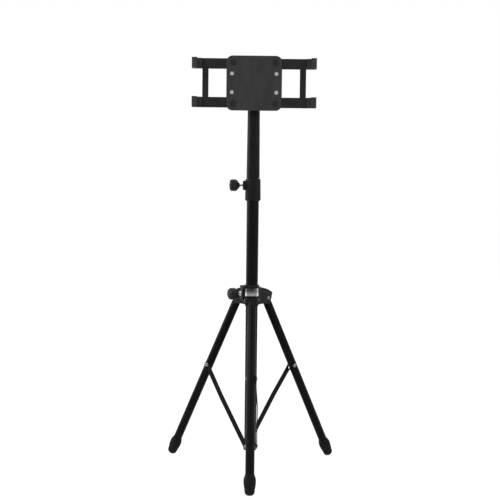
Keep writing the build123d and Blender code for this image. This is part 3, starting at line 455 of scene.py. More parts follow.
class Tree:
    """A node tree in the making."""

    def __init__(self, tree: bpy.types.NodeTree) -> None:
        """Keeps the tree that the nodes go into."""
        self.tree = tree

    def node(self, kind: str, **settings: Any) -> Any:
        """A new node of a kind, with its settings.

        Args:
            kind: The node's type name.
            settings: Its properties and their values.

        Returns:
            The node.
        """
        made = self.tree.nodes.new(kind)
        for key, value in settings.items():
            setattr(made, key, value)
        return made

    def join(self, source: Any, target: Any) -> None:
        """Links an output to an input."""
        self.tree.links.new(source, target)

    def seen(self) -> Any:
        """One socket that is 1 for camera, glossy and transmission rays.

        Returns:
            The socket.
        """
        path = self.node("ShaderNodeLightPath")
        total = path.outputs["Is Camera Ray"]
        for word in ("Is Glossy Ray", "Is Transmission Ray"):
            either = self.node("ShaderNodeMath", operation="MAXIMUM")
            self.join(total, either.inputs[0])
            self.join(path.outputs[word], either.inputs[1])
            total = either.outputs[0]
        return total


class Recipe(Tree):
    """A material in the making: its tree, its shader and its object coordinates."""

    def __init__(self, name: str) -> None:
        """Starts an empty material with a shader that is joined to its output.

        Args:
            name: The material's name.
        """
        self.material = empty_material(name)
        super().__init__(self.material.node_tree)
        self.shader = self.node("ShaderNodeBsdfPrincipled")
        output = self.node("ShaderNodeOutputMaterial")
        self.join(self.shader.outputs["BSDF"], output.inputs["Surface"])
        self.place = self.node("ShaderNodeTexCoord").outputs["Object"]
        self.relief: Any = None

    def noise(self, scale: float, detail: float = 2.0, stretch: Triple = (1, 1, 1)) -> Any:
        """A noise pattern over the piece.

        Args:
            scale: Features per metre.
            detail: Octaves.
            stretch: Factors on the three coordinates, small along the grain.

        Returns:
            The pattern's value, about 0 to 1.
        """
        mapping = self.node("ShaderNodeMapping")
        mapping.inputs["Scale"].default_value = stretch
        self.join(self.place, mapping.inputs["Vector"])
        pattern = self.node("ShaderNodeTexNoise")
        pattern.inputs["Scale"].default_value = scale
        pattern.inputs["Detail"].default_value = detail
        self.join(mapping.outputs["Vector"], pattern.inputs["Vector"])
        return pattern.outputs["Fac"]

    def band(self, source: Any, low: float, high: float, start: float, end: float) -> Any:
        """A value that goes from start to end while the source goes from low to high.

        Args:
            source: The value's socket.
            low: Where the source gives start.
            high: Where it gives end.
            start: First result.
            end: Last result.

        Returns:
            The result's socket.
        """
        made = self.node("ShaderNodeMapRange")
        made.inputs["From Min"].default_value = low
        made.inputs["From Max"].default_value = high
        made.inputs["To Min"].default_value = start
        made.inputs["To Max"].default_value = end
        self.join(source, made.inputs["Value"])
        return made.outputs["Result"]

    def sum(self, first: Any, second: Any, operation: str = "ADD") -> Any:
        """Two values joined by an operation, clamped to 0 and 1.

        Args:
            first: One value's socket.
            second: The other's.
            operation: The operation's name.

        Returns:
            The result's socket.
        """
        made = self.node("ShaderNodeMath", operation=operation, use_clamp=True)
        self.join(first, made.inputs[0])
        self.join(second, made.inputs[1])
        return made.outputs[0]

    def tint(self, share: Any, first: Any, second: Any) -> Any:
        """A colour between two, each a colour or a socket.

        Args:
            share: How much of the second.
            first: Colour at share 0.
            second: Colour at share 1.

        Returns:
            The mixed colour's socket.
        """
        made = self.node("ShaderNodeMix", data_type="RGBA")
        self.join(share, made.inputs[0])
        for value, target in ((first, made.inputs[6]), (second, made.inputs[7])):
            if isinstance(value, tuple):
                target.default_value = (*value, 1.0)
            else:
                self.join(value, target)
        return made.outputs[2]

    def bump(self, height: Any, distance: float, strength: float) -> None:
        """Adds relief of a depth in metres on top of what is there.

        Args:
            height: The pattern's socket.
            distance: Its depth in metres.
            strength: Its share, 0 to 1.
        """
        made = self.node("ShaderNodeBump")
        made.inputs["Distance"].default_value = distance
        made.inputs["Strength"].default_value = strength
        self.join(height, made.inputs["Height"])
        if self.relief is not None:
            self.join(self.relief, made.inputs["Normal"])
        self.relief = made.outputs["Normal"]

    def coordinate(self, axis: str) -> Any:
        """One object coordinate as a value, in metres.

        Args:
            axis: X, Y or Z.

        Returns:
            The value's socket.
        """
        made = self.node("ShaderNodeSeparateXYZ")
        self.join(self.place, made.inputs[0])
        return made.outputs[axis]

    def finish(self, colour: Any, roughness: Any, **constants: Any) -> bpy.types.Material:
        """Joins colour, roughness and relief to the shader and sets its constant sockets.

        Args:
            colour: The base colour's socket.
            roughness: The roughness's socket.
            constants: Socket names, with spaces as underscores, and their values.

        Returns:
            The finished material.
        """
        self.join(colour, self.shader.inputs["Base Color"])
        self.join(roughness, self.shader.inputs["Roughness"])
        if self.relief is not None:
            self.join(self.relief, self.shader.inputs["Normal"])
        for key, value in constants.items():
            self.shader.inputs[key.replace("_", " ")].default_value = value
        return self.material


@dataclass(frozen=True)
class CoatedSteel:
    """Black coating on steel: fine orange peel, cloudy gloss, and pinhead chips and dust."""

    name: str
    shade: float = 0.0016
    specular: float = 0.06
    gloss_low: float = 0.3
    gloss_high: float = 0.42
    peel: float = 0.00006
    peel_scale: float = 700.0

    def material(self) -> bpy.types.Material:
        """Builds the coating.

        Returns:
            The finished material.
        """
        make = Recipe(self.name)
        cloud = make.noise(45.0, 4.0)
        dark = (self.shade, self.shade, self.shade * 1.08)
        light = tuple(value * 2.1 for value in dark)
        base = make.tint(make.band(cloud, 0.35, 0.7, 0, 1), dark, light)
        specks = make.band(make.noise(1500.0, 1.0), 0.72, 0.76, 0, 0.5)
        base = make.tint(specks, base, (0.035, 0.034, 0.032))
        gloss = make.band(make.noise(22.0, 5.0), 0.3, 0.7, self.gloss_low, self.gloss_high)
        rub = make.band(make.noise(160.0, 3.0, (1, 1, 0.08)), 0.62, 0.75, 0, 0.12)
        make.bump(make.noise(self.peel_scale, 2.0), self.peel, 0.35)
        return make.finish(base, make.sum(gloss, rub), Specular_IOR_Level=self.specular)


@dataclass(frozen=True)
class MouldedBlack:
    """Black moulded plastic: spark-eroded grain, satin gloss that wanders, and faint flow marks."""

    name: str
    shade: float = 0.012
    gloss_low: float = 0.4
    gloss_high: float = 0.55
    grain: float = 0.00008
    grain_scale: float = 1400.0
    specular: float = 0.3

    def material(self) -> bpy.types.Material:
        """Builds the plastic.

        Returns:
            The finished material.
        """
        make = Recipe(self.name)
        dark = (self.shade * 0.8, self.shade * 0.8, self.shade * 0.86)
        light = (self.shade * 1.5, self.shade * 1.52, self.shade * 1.66)
        flow = make.noise(90.0, 3.0, (1, 1, 0.35))
        base = make.tint(make.band(flow, 0.3, 0.7, 0, 1), dark, light)
        scuff = make.band(make.noise(420.0, 2.0, (1, 0.3, 1)), 0.68, 0.76, 0, 0.3)
        base = make.tint(scuff, base, (0.05, 0.05, 0.052))
        gloss = make.band(make.noise(60.0, 4.0), 0.3, 0.7, self.gloss_low, self.gloss_high)
        make.bump(make.noise(self.grain_scale, 3.0), self.grain, 0.4)
        return make.finish(base, gloss, Specular_IOR_Level=self.specular)


@dataclass(frozen=True)
class SoftRubber:
    """Matt black rubber: a dry bloom, fine pitting, and dust and scuffs towards the floor."""

    name: str
    shade: float = 0.006
    specular: float = 0.25
    floor_scuff: bool = False

    def material(self) -> bpy.types.Material:
        """Builds the rubber.

        Returns:
            The finished material.
        """
        make = Recipe(self.name)
        bloom = make.band(make.noise(130.0, 5.0), 0.35, 0.7, 0, 1)
        dark = (self.shade, self.shade, self.shade * 1.03)
        base = make.tint(bloom, dark, tuple(value * 2.0 for value in dark))
        if self.floor_scuff:
            low = make.band(make.coordinate("Z"), 0.0, 0.007, 0.9, 0.0)
            worn = make.band(make.noise(600.0, 4.0), 0.45, 0.62, 0, 1)
            base = make.tint(make.sum(low, worn, "MULTIPLY"), base, (0.06, 0.056, 0.05))
        make.bump(make.noise(1800.0, 3.0), 0.00012, 0.4)
        return make.finish(base, make.band(bloom, 0, 1, 0.62, 0.82), Specular_IOR_Level=self.specular)


@dataclass(frozen=True)
class PlatedMetal:
    """Plated metal: cloudy gloss, hairline scratches and a little tarnish."""

    name: str
    bright: Triple
    dull: Triple
    gloss_low: float = 0.18
    gloss_high: float = 0.36

    def material(self) -> bpy.types.Material:
        """Builds the plating.

        Returns:
            The finished material.
        """
        make = Recipe(self.name)
        tarnish = make.band(make.noise(350.0, 4.0), 0.5, 0.72, 0, 0.7)
        base = make.tint(tarnish, self.bright, self.dull)
        gloss = make.band(make.noise(260.0, 4.0), 0.3, 0.7, self.gloss_low, self.gloss_high)
        hair = make.noise(2600.0, 2.0, (1, 0.15, 1))
        make.bump(hair, 0.00002, 0.3)
        return make.finish(base, gloss, Metallic=1.0)


@dataclass(frozen=True)
class LinerPlastic:
    """Plain dark grey moulded plastic of the hidden bushes."""

    name: str

    def material(self) -> bpy.types.Material:
        """Builds the plastic.

        Returns:
            The finished material.
        """
        make = Recipe(self.name)
        cloud = make.band(make.noise(110.0, 3.0), 0.3, 0.7, 0, 1)
        base = make.tint(cloud, (0.062, 0.062, 0.066), (0.095, 0.095, 0.1))
        make.bump(make.noise(1500.0, 2.0), 0.00006, 0.3)
        return make.finish(base, make.band(cloud, 0, 1, 0.45, 0.58))


@dataclass(frozen=True)
class BrushedLabel:
    """A bare metal plate: brushed fore and aft, with a painted highlight at both margins and painted shade
    over the roof.
    """

    name: str
    half_width: float = 0.0107
    # Width of the painted highlight along each side edge, then the heights where the painted shade over the
    # roof starts and where it is full.
    highlight_margin: float = 0.0022
    roof_shade_from: float = 0.2975
    roof_shade_full: float = 0.3015

    def material(self) -> bpy.types.Material:
        """Builds the plate's finish.

        Returns:
            The finished material.
        """
        make = Recipe(self.name)
        across = make.node("ShaderNodeMath", operation="ABSOLUTE")
        make.join(make.coordinate("X"), across.inputs[0])
        # Painted highlight: the colour turns much brighter within a margin of both side edges, standing in
        # for reflections where the plate bends.
        edge = self.half_width - self.highlight_margin
        highlight_margin = make.band(across.outputs[0], edge - 0.0006, edge + 0.0004, 0, 1)
        streak = make.band(make.noise(1500.0, 3.0, (1, 0.02, 0.02)), 0.3, 0.7, 0, 1)
        middle = make.tint(streak, (0.16, 0.155, 0.165), (0.3, 0.293, 0.31))
        rim = make.tint(streak, (0.6, 0.6, 0.615), (0.82, 0.82, 0.84))
        # Painted shade: over the roof the colour darkens, in the middle and at the margins alike, standing
        # in for a darker reflection there.
        roof = make.band(make.coordinate("Z"), self.roof_shade_from, self.roof_shade_full, 0, 1)
        roof_shaded_middle = make.tint(roof, middle, (0.038, 0.037, 0.04))
        base = make.tint(highlight_margin, roof_shaded_middle, make.tint(roof, rim, (0.13, 0.13, 0.134)))
        make.bump(make.noise(2600.0, 2.0, (1, 0.02, 0.02)), 0.00003, 0.5)
        return make.finish(base, make.band(streak, 0, 1, 0.32, 0.46), Metallic=0.55)


def finishes() -> dict[Slot, bpy.types.Material]:
    """Every finish, by the slot that it belongs to.

    Returns:
        The materials.
    """
    made = {
        Slot.TUBE: CoatedSteel("tube_powder_coat"),
        Slot.BRACE: CoatedSteel("brace_paint", shade=0.003, specular=0.1, gloss_low=0.34, gloss_high=0.46),
        Slot.PLATE: CoatedSteel("plate_powder_coat", 0.006, 0.16, 0.45, 0.6, peel=0.00012),
        Slot.SLEEVE: MouldedBlack("sleeve_plastic", 0.003, 0.42, 0.56, specular=0.1),
        Slot.HUB: MouldedBlack("hub_plastic", shade=0.006, specular=0.2),
        Slot.KNOB: MouldedBlack("knob_plastic", shade=0.004, specular=0.16, gloss_low=0.34, gloss_high=0.48),
        Slot.HOLDER: MouldedBlack("holder_plastic", shade=0.012, grain=0.00014, grain_scale=1100.0),
        Slot.CLAW: MouldedBlack("claw_plastic", shade=0.012),
        Slot.FOOT: SoftRubber("foot_rubber_finish", 0.0024, 0.12, floor_scuff=True),
        Slot.PAD: SoftRubber("pad_rubber_finish"),
        Slot.LINER: LinerPlastic("bush_plastic"),
        Slot.LABEL: BrushedLabel("label_plate_finish"),
        Slot.RIVET: PlatedMetal("rivet_plating", (0.2, 0.196, 0.19), (0.08, 0.077, 0.073), 0.12, 0.26),
        Slot.ZINC: PlatedMetal("screw_plating", (0.42, 0.43, 0.45), (0.22, 0.225, 0.235), 0.26, 0.42),
    }
    return {slot: recipe.material() for slot, recipe in made.items()}


# The bench that pieces are made on


def mesh_of(name: str, points: Array, faces: list[list[int]]) -> bpy.types.Mesh:
    """A mesh of points in metres and the faces between them.

    Args:
        name: The mesh's name.
        points: Its points, shape (n, 3).
        faces: The points' numbers round each face.

    Returns:
        The mesh.
    """
    mesh = bpy.data.meshes.new(name)
    mesh.from_pydata(points.tolist(), [], faces)
    return mesh


def shown(name: str, data: Any) -> bpy.types.Object:
    """A new object of a mesh, camera or lamp, linked to the scene.

    Args:
        name: The object's name.
        data: What it shows.

    Returns:
        The object.
    """
    made = bpy.data.objects.new(name, data)
    bpy.context.scene.collection.objects.link(made)
    return made


class Bench:
    """Turns surfaces and nodes into finished pieces that ride on their bodies."""

    SHARP = np.radians(32.0)
    FLAT = np.radians(0.4)
    WELD = 2e-6

    def __init__(self, frame: dict[str, Any]) -> None:
        """Keeps the frame's nodes, the body of each, and the finishes.

        Args:
            frame: The loaded frame.
        """
        self.nodes: dict[str, bpy.types.Object] = frame["nodes"]
        bodies = frame["record"]["behaviour"]["bodies"]
        self.body = {node: body for body, nodes in bodies.items() for node in nodes}
        self.finish = finishes()

    def _show(self, mesh: bpy.types.Mesh, name: str, slot: Slot, nodes: tuple[str, ...]) -> bpy.types.Object:
        """Makes the object of a finished mesh, in place of the nodes it stands for.

        Args:
            mesh: The piece's mesh.
            name: The piece's name.
            slot: Its finish.
            nodes: The CAD nodes it stands for.

        Returns:
            The piece's object.
        """
        mesh.materials.append(self.finish[slot])
        mesh.shade_smooth()
        mesh.set_sharp_from_angle(angle=self.SHARP)
        piece = shown(name, mesh)
        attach(piece, self.body[nodes[0]])
        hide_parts(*nodes)
        LOG.info("%s: %d faces on %s", name, len(mesh.polygons), self.body[nodes[0]])
        return piece

    def make(self, name: str, surface: Surface, slot: Slot, *nodes: str) -> bpy.types.Object:
        """A new piece from a surface.

        Args:
            name: The piece's name.
            surface: Its closed surface, in millimetres.
            slot: Its finish.
            nodes: The CAD nodes it stands for.

        Returns:
            The piece's object.
        """
        mesh = mesh_of(name, surface.points * MM, surface.faces)
        work = bmesh.new()
        work.from_mesh(mesh)
        bmesh.ops.recalc_face_normals(work, faces=work.faces)
        work.to_mesh(mesh)
        work.free()
        return self._show(mesh, name, slot, nodes)

    def dress(self, name: str, node: str, slot: Slot, bevel: float = 0.3) -> bpy.types.Object:
        """A welded copy of a node, with its flat faces whole and its edges bevelled.

        Args:
            name: The piece's name.
            node: The CAD node that it copies and stands for.
            slot: Its finish.
            bevel: The edges' bevel in millimetres.

        Returns:
            The piece's object.
        """
        source = self.nodes[node].data
        points = np.empty(len(source.vertices) * 3)
        source.vertices.foreach_get("co", points)
        corners = np.empty(len(source.loops), np.int32)
        source.loops.foreach_get("vertex_index", corners)
        mesh = mesh_of(name, points.reshape(-1, 3), corners.reshape(-1, 3).tolist())
        work = bmesh.new()
        work.from_mesh(mesh)
        bmesh.ops.remove_doubles(work, verts=work.verts, dist=self.WELD)
        bmesh.ops.dissolve_limit(work, angle_limit=self.FLAT, verts=work.verts, edges=work.edges)
        work.to_mesh(mesh)
        work.free()
        piece = self._show(mesh, name, slot, (node,))
        if bevel > 0:
            modifier = piece.modifiers.new("eased_edges", "BEVEL")
            modifier.width = bevel * MM
            modifier.segments = 2
            modifier.limit_method = "ANGLE"
            modifier.angle_limit = self.SHARP
            modifier.use_clamp_overlap = True
            modifier.harden_normals = True
        return piece

    def keep(self, node: str, slot: Slot) -> None:
        """Gives a node that stays as it is its finish.

        Args:
            node: The CAD node.
            slot: Its finish.
        """
        materials = self.nodes[node].data.materials
        materials.clear()
        materials.append(self.finish[slot])
        LOG.info("%s: kept, %s", node, slot.value)


# Shared fasteners


@dataclass(frozen=True)
class ClampKnob:
    """A six-lobed knob with a coned throat and a rounded face, on an axis that leaves its screw."""

    radius: float = 9.7
    length: float = 17.5
    cone: float = 5.8
    dome: float = 3.9
    edge: float = 2.8
    bore: float = 2.05
    bore_depth: float = 10.0
    lobes: int = 6
    notch_depth: float = 0.95
    notch_half: float = 13.5
    notch_from: float = 0.6
    notch_fade: float = 0.25
    groove: tuple[float, float, float, float] = (5.9, 5.5, 4.9, 4.5)
    groove_depth: float = 0.15

    def surface(self, axes: Axes) -> Surface:
        """The knob.

        The profile is turned, and within the half angle of each of the six notches the radius falls by
        the notch depth times (1 + cos(pi offset / half angle)) / 2, faded in from a share of the radius on.

        Args:
            axes: Origin on the knob's inner face, z out along its axis.

        Returns:
            The closed surface.
        """
        shoulder = self.length - self.dome + self.edge
        lip, outer, inner, button = self.groove
        rows = [
            (POLE_R, self.bore_depth, 0),
            (self.bore, self.bore_depth, 0.2),
            (self.bore, 0.0, 0.1),
            (self.bore + 1.0, 0.0, 0.5),
            (self.radius, self.cone, 1.6),
            (self.radius, self.length - self.dome, 1.6),
            (self.radius - self.edge * 0.35, shoulder - self.edge * 0.3, 1.2),
            (self.radius - self.edge, shoulder, 0.9),
            (lip, shoulder + 0.2, 0.2),
            (outer, shoulder - self.groove_depth, 0.2),
            (inner, shoulder - self.groove_depth, 0.2),
            (button, shoulder + 0.45, 0.3),
            (POLE_R, self.length - 0.1, 0),
        ]
        profile = moulded(rows, 6)
        dense = np.linspace(0, 1, 5)[None, :, None]
        filled = profile[:-1, None] * (1 - dense[:, :-1]) + profile[1:, None] * dense[:, :-1]
        profile = np.vstack([filled.reshape(-1, 2), profile[-1:]])
        angle = around(144)
        pitch = TURN / self.lobes
        offset = np.abs((angle % pitch) - pitch / 2)
        half = np.radians(self.notch_half)
        notch = np.where(offset < half, (1 + np.cos(np.pi * offset / half)) / 2, 0.0)
        start = self.radius * self.notch_from
        fade = np.clip((profile[:, :1] - start) / (self.radius * self.notch_fade), 0, 1)
        radius = profile[:, :1] - self.notch_depth * notch * fade
        return skin(axes.place(round_grid(radius, angle, profile[:, 1:])))


@dataclass(frozen=True)
class HexNut:
    """A chamfered hexagonal nut."""

    flat: float = 4.0
    height: float = 3.0
    hole: float = 2.08
    chamfer: float = 0.35
    corner_cut: float = 0.9
    hole_ease: float = 0.3

    def surface(self, axes: Axes) -> Surface:
        """The nut: a hexagon's outline, cut near both faces by a cone that takes its corners off.

        Args:
            axes: Origin on the nut's inner face, z through its hole.

        Returns:
            The closed surface.
        """
        corner = self.flat / np.cos(TURN / 12)
        rows = [
            (self.flat, 0.0),
            (self.flat, self.chamfer),
            (self.flat, self.height - self.chamfer),
            (self.flat, self.height),
            (self.hole + self.hole_ease, self.height),
            (self.hole, self.height - self.hole_ease),
            (self.hole, self.hole_ease),
            (self.hole + self.hole_ease, 0.0),
        ]
        flats = [True] * 4 + [False] * 4
        face = corner * self.corner_cut
        limit = [face, corner, corner, face] + [corner] * 4
        return turned(axes, rows, 96, wall=True, flats=flats, limit=limit)


@dataclass(frozen=True)
class ClampScrew:
    """A threaded stud, its nut and its knob on one level axis."""

    name: str
    azimuth: float
    height: float
    stud_start: float
    knob_face: float
    nut_seat: float
    stud_radius: float = 2.0
    grip: float = 10.0

    def build(self, bench: Bench) -> None:
        """Makes the stud, the nut and the knob.

        Args:
            bench: Where its pieces are made.
        """
        axes = Axes.along(UP * self.height, level(self.azimuth), UP)
        stud = thread(axes, self.stud_radius, self.stud_start, self.knob_face + self.grip)
        bench.make(f"threaded_{self.name}_stud", stud, Slot.ZINC, f"{self.name}_screw")
        nut = HexNut().surface(axes.shifted(self.nut_seat))
        bench.make(f"hex_{self.name}_nut", nut, Slot.ZINC, f"{self.name}_nut")
        knob = ClampKnob().surface(axes.shifted(self.knob_face))
        bench.make(f"lobed_{self.name}_knob", knob, Slot.KNOB, f"{self.name}_knob")


# Mast


@dataclass
class Mast:
    """The fixed post with its bottom bracket and the collar at its top."""

    radius: float = 10.0
    bore: float = 8.8
    bottom: float = 43.5
    top: float = 464.0
    pivot_radial: float = 2.0
    pivot_height: float = 36.0
    rivet_from: float = 5.0
    rivet_seat: float = 12.1
    rivet_shank: float = 2.0
    rivet_head: float = 3.2
    rivet_crown: float = 1.0
    clamp: ClampScrew = field(default_factory=lambda: ClampScrew("collar", 180.0, 474.4, 8.3, 21.9, 14.0))

    def build(self, bench: Bench) -> None:
        """Makes the post, the bracket and its rivets, and the collar.

        Args:
            bench: Where its pieces are made.
        """
        post = pipe(UPRIGHT, self.radius, self.bore, self.bottom, self.top)
        bench.make("drawn_mast_tube", post, Slot.TUBE, "mast_tube")
        bench.dress("moulded_bottom_bracket", "bottom_bracket", Slot.HUB, 0.35)
        bench.make("domed_bracket_rivets", self.rivets(), Slot.RIVET, "bracket_rivets")
        bench.dress("moulded_collar", "collar_clamp", Slot.SLEEVE, 0.35)
        bench.keep("collar_bush", Slot.LINER)
        self.clamp.build(bench)

    def rivets(self) -> Surface:
        """Three domed rivets, one on each of the bracket's flats, turned about the braces' lower pivots.

        Returns:
            The three rivets.
        """
        shank = [
            (POLE_R, self.rivet_from),
            (self.rivet_shank, self.rivet_from),
            (self.rivet_shank, self.rivet_seat),
        ]
        profile = np.vstack([shank, dome(self.rivet_head, self.rivet_crown, self.rivet_seat)])
        return at_each_leg(self.pivot_radial, self.pivot_height, profile)


# Hub


@dataclass
class Hub:
    """The sliding hub: three roofed arms, its ring, liner, pins, bare plate and clamp screw."""

    hinge_radius: float = HINGE_RADIUS
    hinge_height: float = HINGE_HEIGHT
    arm_half: float = 11.2
    pin_shank: float = 2.0
    pin_head: float = 2.7
    pin_crown: float = 1.0
    ring_r: float = 12.6
    ring_bore: float = 10.3
    ring_bottom: float = 305.0
    ring_top: float = 309.0
    ring_ease: float = 0.6
    roof_centre: float = 268.8
    roof_arc: float = 36.0
    crest: float = 10.0
    plate_start: float = 16.8
    plate_half: float = 10.7
    plate_thickness: float = 0.5
    nose: tuple[tuple[float, float], ...] = ((32.8, 296.66), (33.22, 296.2), (33.4, 295.46), (33.1, 294.06))
    clamp: ClampScrew = field(default_factory=lambda: ClampScrew("hub", 210.0, 295.8, 10.3, 26.8, 18.8))

    def build(self, bench: Bench) -> None:
        """Makes every piece of the hub.

        Args:
            bench: Where its pieces are made.
        """
        bench.dress("moulded_hub", "hub_body", Slot.HUB, 0.25)
        ring = pipe(UPRIGHT, self.ring_r, self.ring_bore, self.ring_bottom, self.ring_top, self.ring_ease)
        bench.make("moulded_hub_ring", ring, Slot.HUB, "hub_cap")
        bench.keep("hub_bush", Slot.LINER)
        bench.make("bent_label_plate", self.plate(), Slot.LABEL, "hub_label")
        bench.make("domed_hinge_pins", self.pins(), Slot.RIVET, "hub_pins")
        self.clamp.build(bench)

    def pins(self) -> Surface:
        """Three hinge pins with a dome at each end, turned about the legs' axes.

        Returns:
            The three pins.
        """
        head = dome(self.pin_head, self.pin_crown, self.arm_half)
        shank = np.array([(self.pin_shank, -self.arm_half), (self.pin_shank, self.arm_half)])
        return at_each_leg(self.hinge_radius, self.hinge_height, np.vstack([flipped(head), shank, head]))

    def plate(self) -> Surface:
        """The bare plate: a flat section with eased edges, carried over the front arm's roof and nose.

        The roof's height at radius r is its centre plus sqrt(arc^2 - (r - crest)^2), and the section's
        second direction is square to the path.

        Returns:
            The closed surface.
        """
        radial = np.linspace(self.plate_start, self.nose[0][0], 28)[:-1]
        height = self.roof_centre + np.sqrt(self.roof_arc**2 - (radial - self.crest) ** 2)
        outline = np.vstack([np.column_stack([radial, height]), self.nose])
        outline = eased(outline, 0.3, steps=3)
        run = np.gradient(outline, axis=0)
        run /= np.linalg.norm(run, axis=1)[:, None]
        outward = Heading.FRONT.outward
        path = outline[:, :1] * outward + outline[:, 1:] * UP
        normal = -run[:, 1:] * outward + run[:, :1] * UP
        half, thick = self.plate_half, self.plate_thickness
        corners = [(-half, 0.0), (half, 0.0), (half, thick), (-half, thick)]
        section = eased(corners, [0.05, 0.05, 0.22, 0.22], closed=True)
        return carried(path, normal, EAST, section)


# Legs


@dataclass
class Leg:
    """One leg: tube, hinge eye, rubber foot, the brace's rivet, and the brace."""

    heading: Heading
    hinge_radius: float = HINGE_RADIUS
    hinge_height: float = HINGE_HEIGHT
    lean: float = 25.191509
    radius: float = 7.15
    bore: float = 6.15
    tube_start: float = 11.0
    tip: float = 316.438
    pad: float = 8.0
    foot_length: float = 32.0
    foot_lip: float = 0.6
    bulge: float = 9.8
    bulge_at: float = 9.0
    sole_radius: float = 8.0
    sole_edge: float = 6.5
    mouth_slope: float = 0.25
    edge_slope: float = -0.12
    grooves: Triple = (2.4, 21.0, 23.6)
    groove_half: float = 0.8
    groove_depth: float = 0.32
    rivet_at: float = 132.5
    rivet_seat: float = 9.15
    rivet_shank: float = 1.5
    rivet_head: float = 3.6
    rivet_crown: float = 1.6
    back_head: float = 0.9
    back_crown: float = 0.8

    @property
    def axes(self) -> Axes:
        """Origin on the hinge, z down along the leg, x sideways.

        Returns:
            The leg's frame.
        """
        lean = np.radians(self.lean)
        origin = self.heading.outward * self.hinge_radius + UP * self.hinge_height
        down = self.heading.outward * np.sin(lean) - UP * np.cos(lean)
        return Axes.along(origin, down, self.heading.sideways)

    def build(self, bench: Bench) -> None:
        """Makes the leg's pieces.

        Args:
            bench: Where its pieces are made.
        """
        word = self.heading.word
        tube = pipe(self.axes, self.radius, self.bore, self.tube_start, self.tip - self.pad)
        bench.make(f"drawn_{word}_leg", tube, Slot.TUBE, f"{word}_leg_tube")
        bench.dress(f"moulded_{word}_hinge_eye", f"{word}_leg_knuckle", Slot.SLEEVE, 0.3)
        bench.make(f"moulded_{word}_foot", self.foot(), Slot.FOOT, f"{word}_foot")
        bench.make(f"domed_{word}_rivet", self.rivet(), Slot.RIVET, f"{word}_brace_rivet")
        bench.dress(f"pressed_{word}_brace", f"{word}_brace", Slot.BRACE, 0.3)

    def foot(self) -> Surface:
        """The rubber foot.

        From mouth to bulge and from bulge to edge the radius is a cubic with given slopes at its ends,
        less three shallow ring grooves, each a raised cosine. The sole's edge is a quarter circle. What
        would lie under the floor is pressed flat onto it.

        Returns:
            The closed surface.
        """
        mouth = self.tip - self.foot_length
        lower = self.foot_length - self.sole_edge - self.bulge_at
        s = np.linspace(0, 1, 26)
        neck = self.radius + self.foot_lip
        upper_r = hermite(neck, self.bulge, self.mouth_slope * self.bulge_at, 0.0, s)
        lower_r = hermite(self.bulge, self.sole_radius, 0.0, self.edge_slope * lower, s)
        radius = np.concatenate([upper_r, lower_r[1:]])
        height = np.concatenate([s * self.bulge_at, self.bulge_at + s[1:] * lower])
        centres = np.array(self.grooves)[:, None]
        ripple = np.clip(1 - np.abs(height[None] - centres) / self.groove_half, 0, 1)
        radius = radius - self.groove_depth * (np.sin(ripple * np.pi / 2) ** 2).sum(axis=0)
        quarter = np.linspace(0.1, np.pi / 2, 12)
        sole = np.column_stack([
            self.sole_radius - self.sole_edge * (1 - np.cos(quarter)),
            self.tip - self.sole_edge * (1 - np.sin(quarter)),
        ])
        floor = self.tip - self.pad
        start = [(POLE_R, floor), (self.radius, floor), (self.radius, mouth + 0.3)]
        side = np.column_stack([radius, mouth + height])
        side[0] = (neck - 0.15, mouth)
        profile = np.vstack([start, [(self.radius + 0.2, mouth)], side, sole, [(POLE_R, self.tip)]])
        made = turned(self.axes, profile, 72)
        made.points[:, 2] = np.maximum(made.points[:, 2], 0.0)
        return made

    def rivet(self) -> Surface:
        """The rivet through leg and brace: a wide dome outside the brace and a lower one opposite.

        Returns:
            The closed surface.
        """
        outer = dome(self.rivet_head, self.rivet_crown, self.rivet_seat)
        back_r, back_crown = self.rivet_head * self.back_head, self.rivet_crown * self.back_crown
        inner = flipped(dome(back_r, back_crown, self.radius))
        shank = np.array([(self.rivet_shank, -self.radius), (self.rivet_shank, self.rivet_seat)])
        leg = self.axes
        axes = Axes.along(leg.origin + leg.z * self.rivet_at, leg.x, leg.z)
        return turned(axes, np.vstack([inner, shank, outer]), 56)


def hermite(start: float, end: float, slope_start: float, slope_end: float, s: Array) -> Array:
    """The cubic from start to end with given slopes per unit of s.

    It is (2s^3 - 3s^2 + 1) start + (3s^2 - 2s^3) end + (s^3 - 2s^2 + s) first slope
    + (s^3 - s^2) last slope.

    Args:
        start: Value at s = 0.
        end: Value at s = 1.
        slope_start: Slope at s = 0.
        slope_end: Slope at s = 1.
        s: Shares from 0 to 1.

    Returns:
        The values.
    """
    square, cube = s**2, s**3
    ends = (2 * cube - 3 * square + 1) * start + (3 * square - 2 * cube) * end
    return ends + (cube - 2 * square + s) * slope_start + (cube - square) * slope_end


# Riser and head


@dataclass
class Riser:
    """The telescopic tube with its bush and the tapered grip at its top."""

    radius: float = 8.0
    bore: float = 6.8
    bottom: float = 130.0
    top: float = 592.0
    grip_bottom: float = 486.0
    grip_bottom_r: float = 10.85
    grip_top: float = 600.0
    grip_top_r: float = 10.0
    stud_r: float = 5.0
    stud_height: float = 10.0

    def build(self, bench: Bench) -> None:
        """Makes the tube and the grip.

        Args:
            bench: Where its pieces are made.
        """
        tube = pipe(UPRIGHT, self.radius, self.bore, self.bottom, self.top)
        bench.make("drawn_riser", tube, Slot.TUBE, "inner_tube")
        bench.keep("inner_bush", Slot.LINER)
        rows = [
            (POLE_R, self.top, 0),
            (self.radius, self.top, 0.1),
            (self.radius, self.grip_bottom, 0.2),
            (self.grip_bottom_r, self.grip_bottom, 0.8),
            (self.grip_top_r, self.grip_top, 1.2),
            (self.stud_r, self.grip_top, 0.3),
            (self.stud_r, self.grip_top + self.stud_height, 0.6),
            (POLE_R, self.grip_top + self.stud_height, 0),
        ]
        sleeve = turned(UPRIGHT, moulded(rows, 6), 72)
        bench.make("moulded_neck_sleeve", sleeve, Slot.SLEEVE, "neck_sleeve")


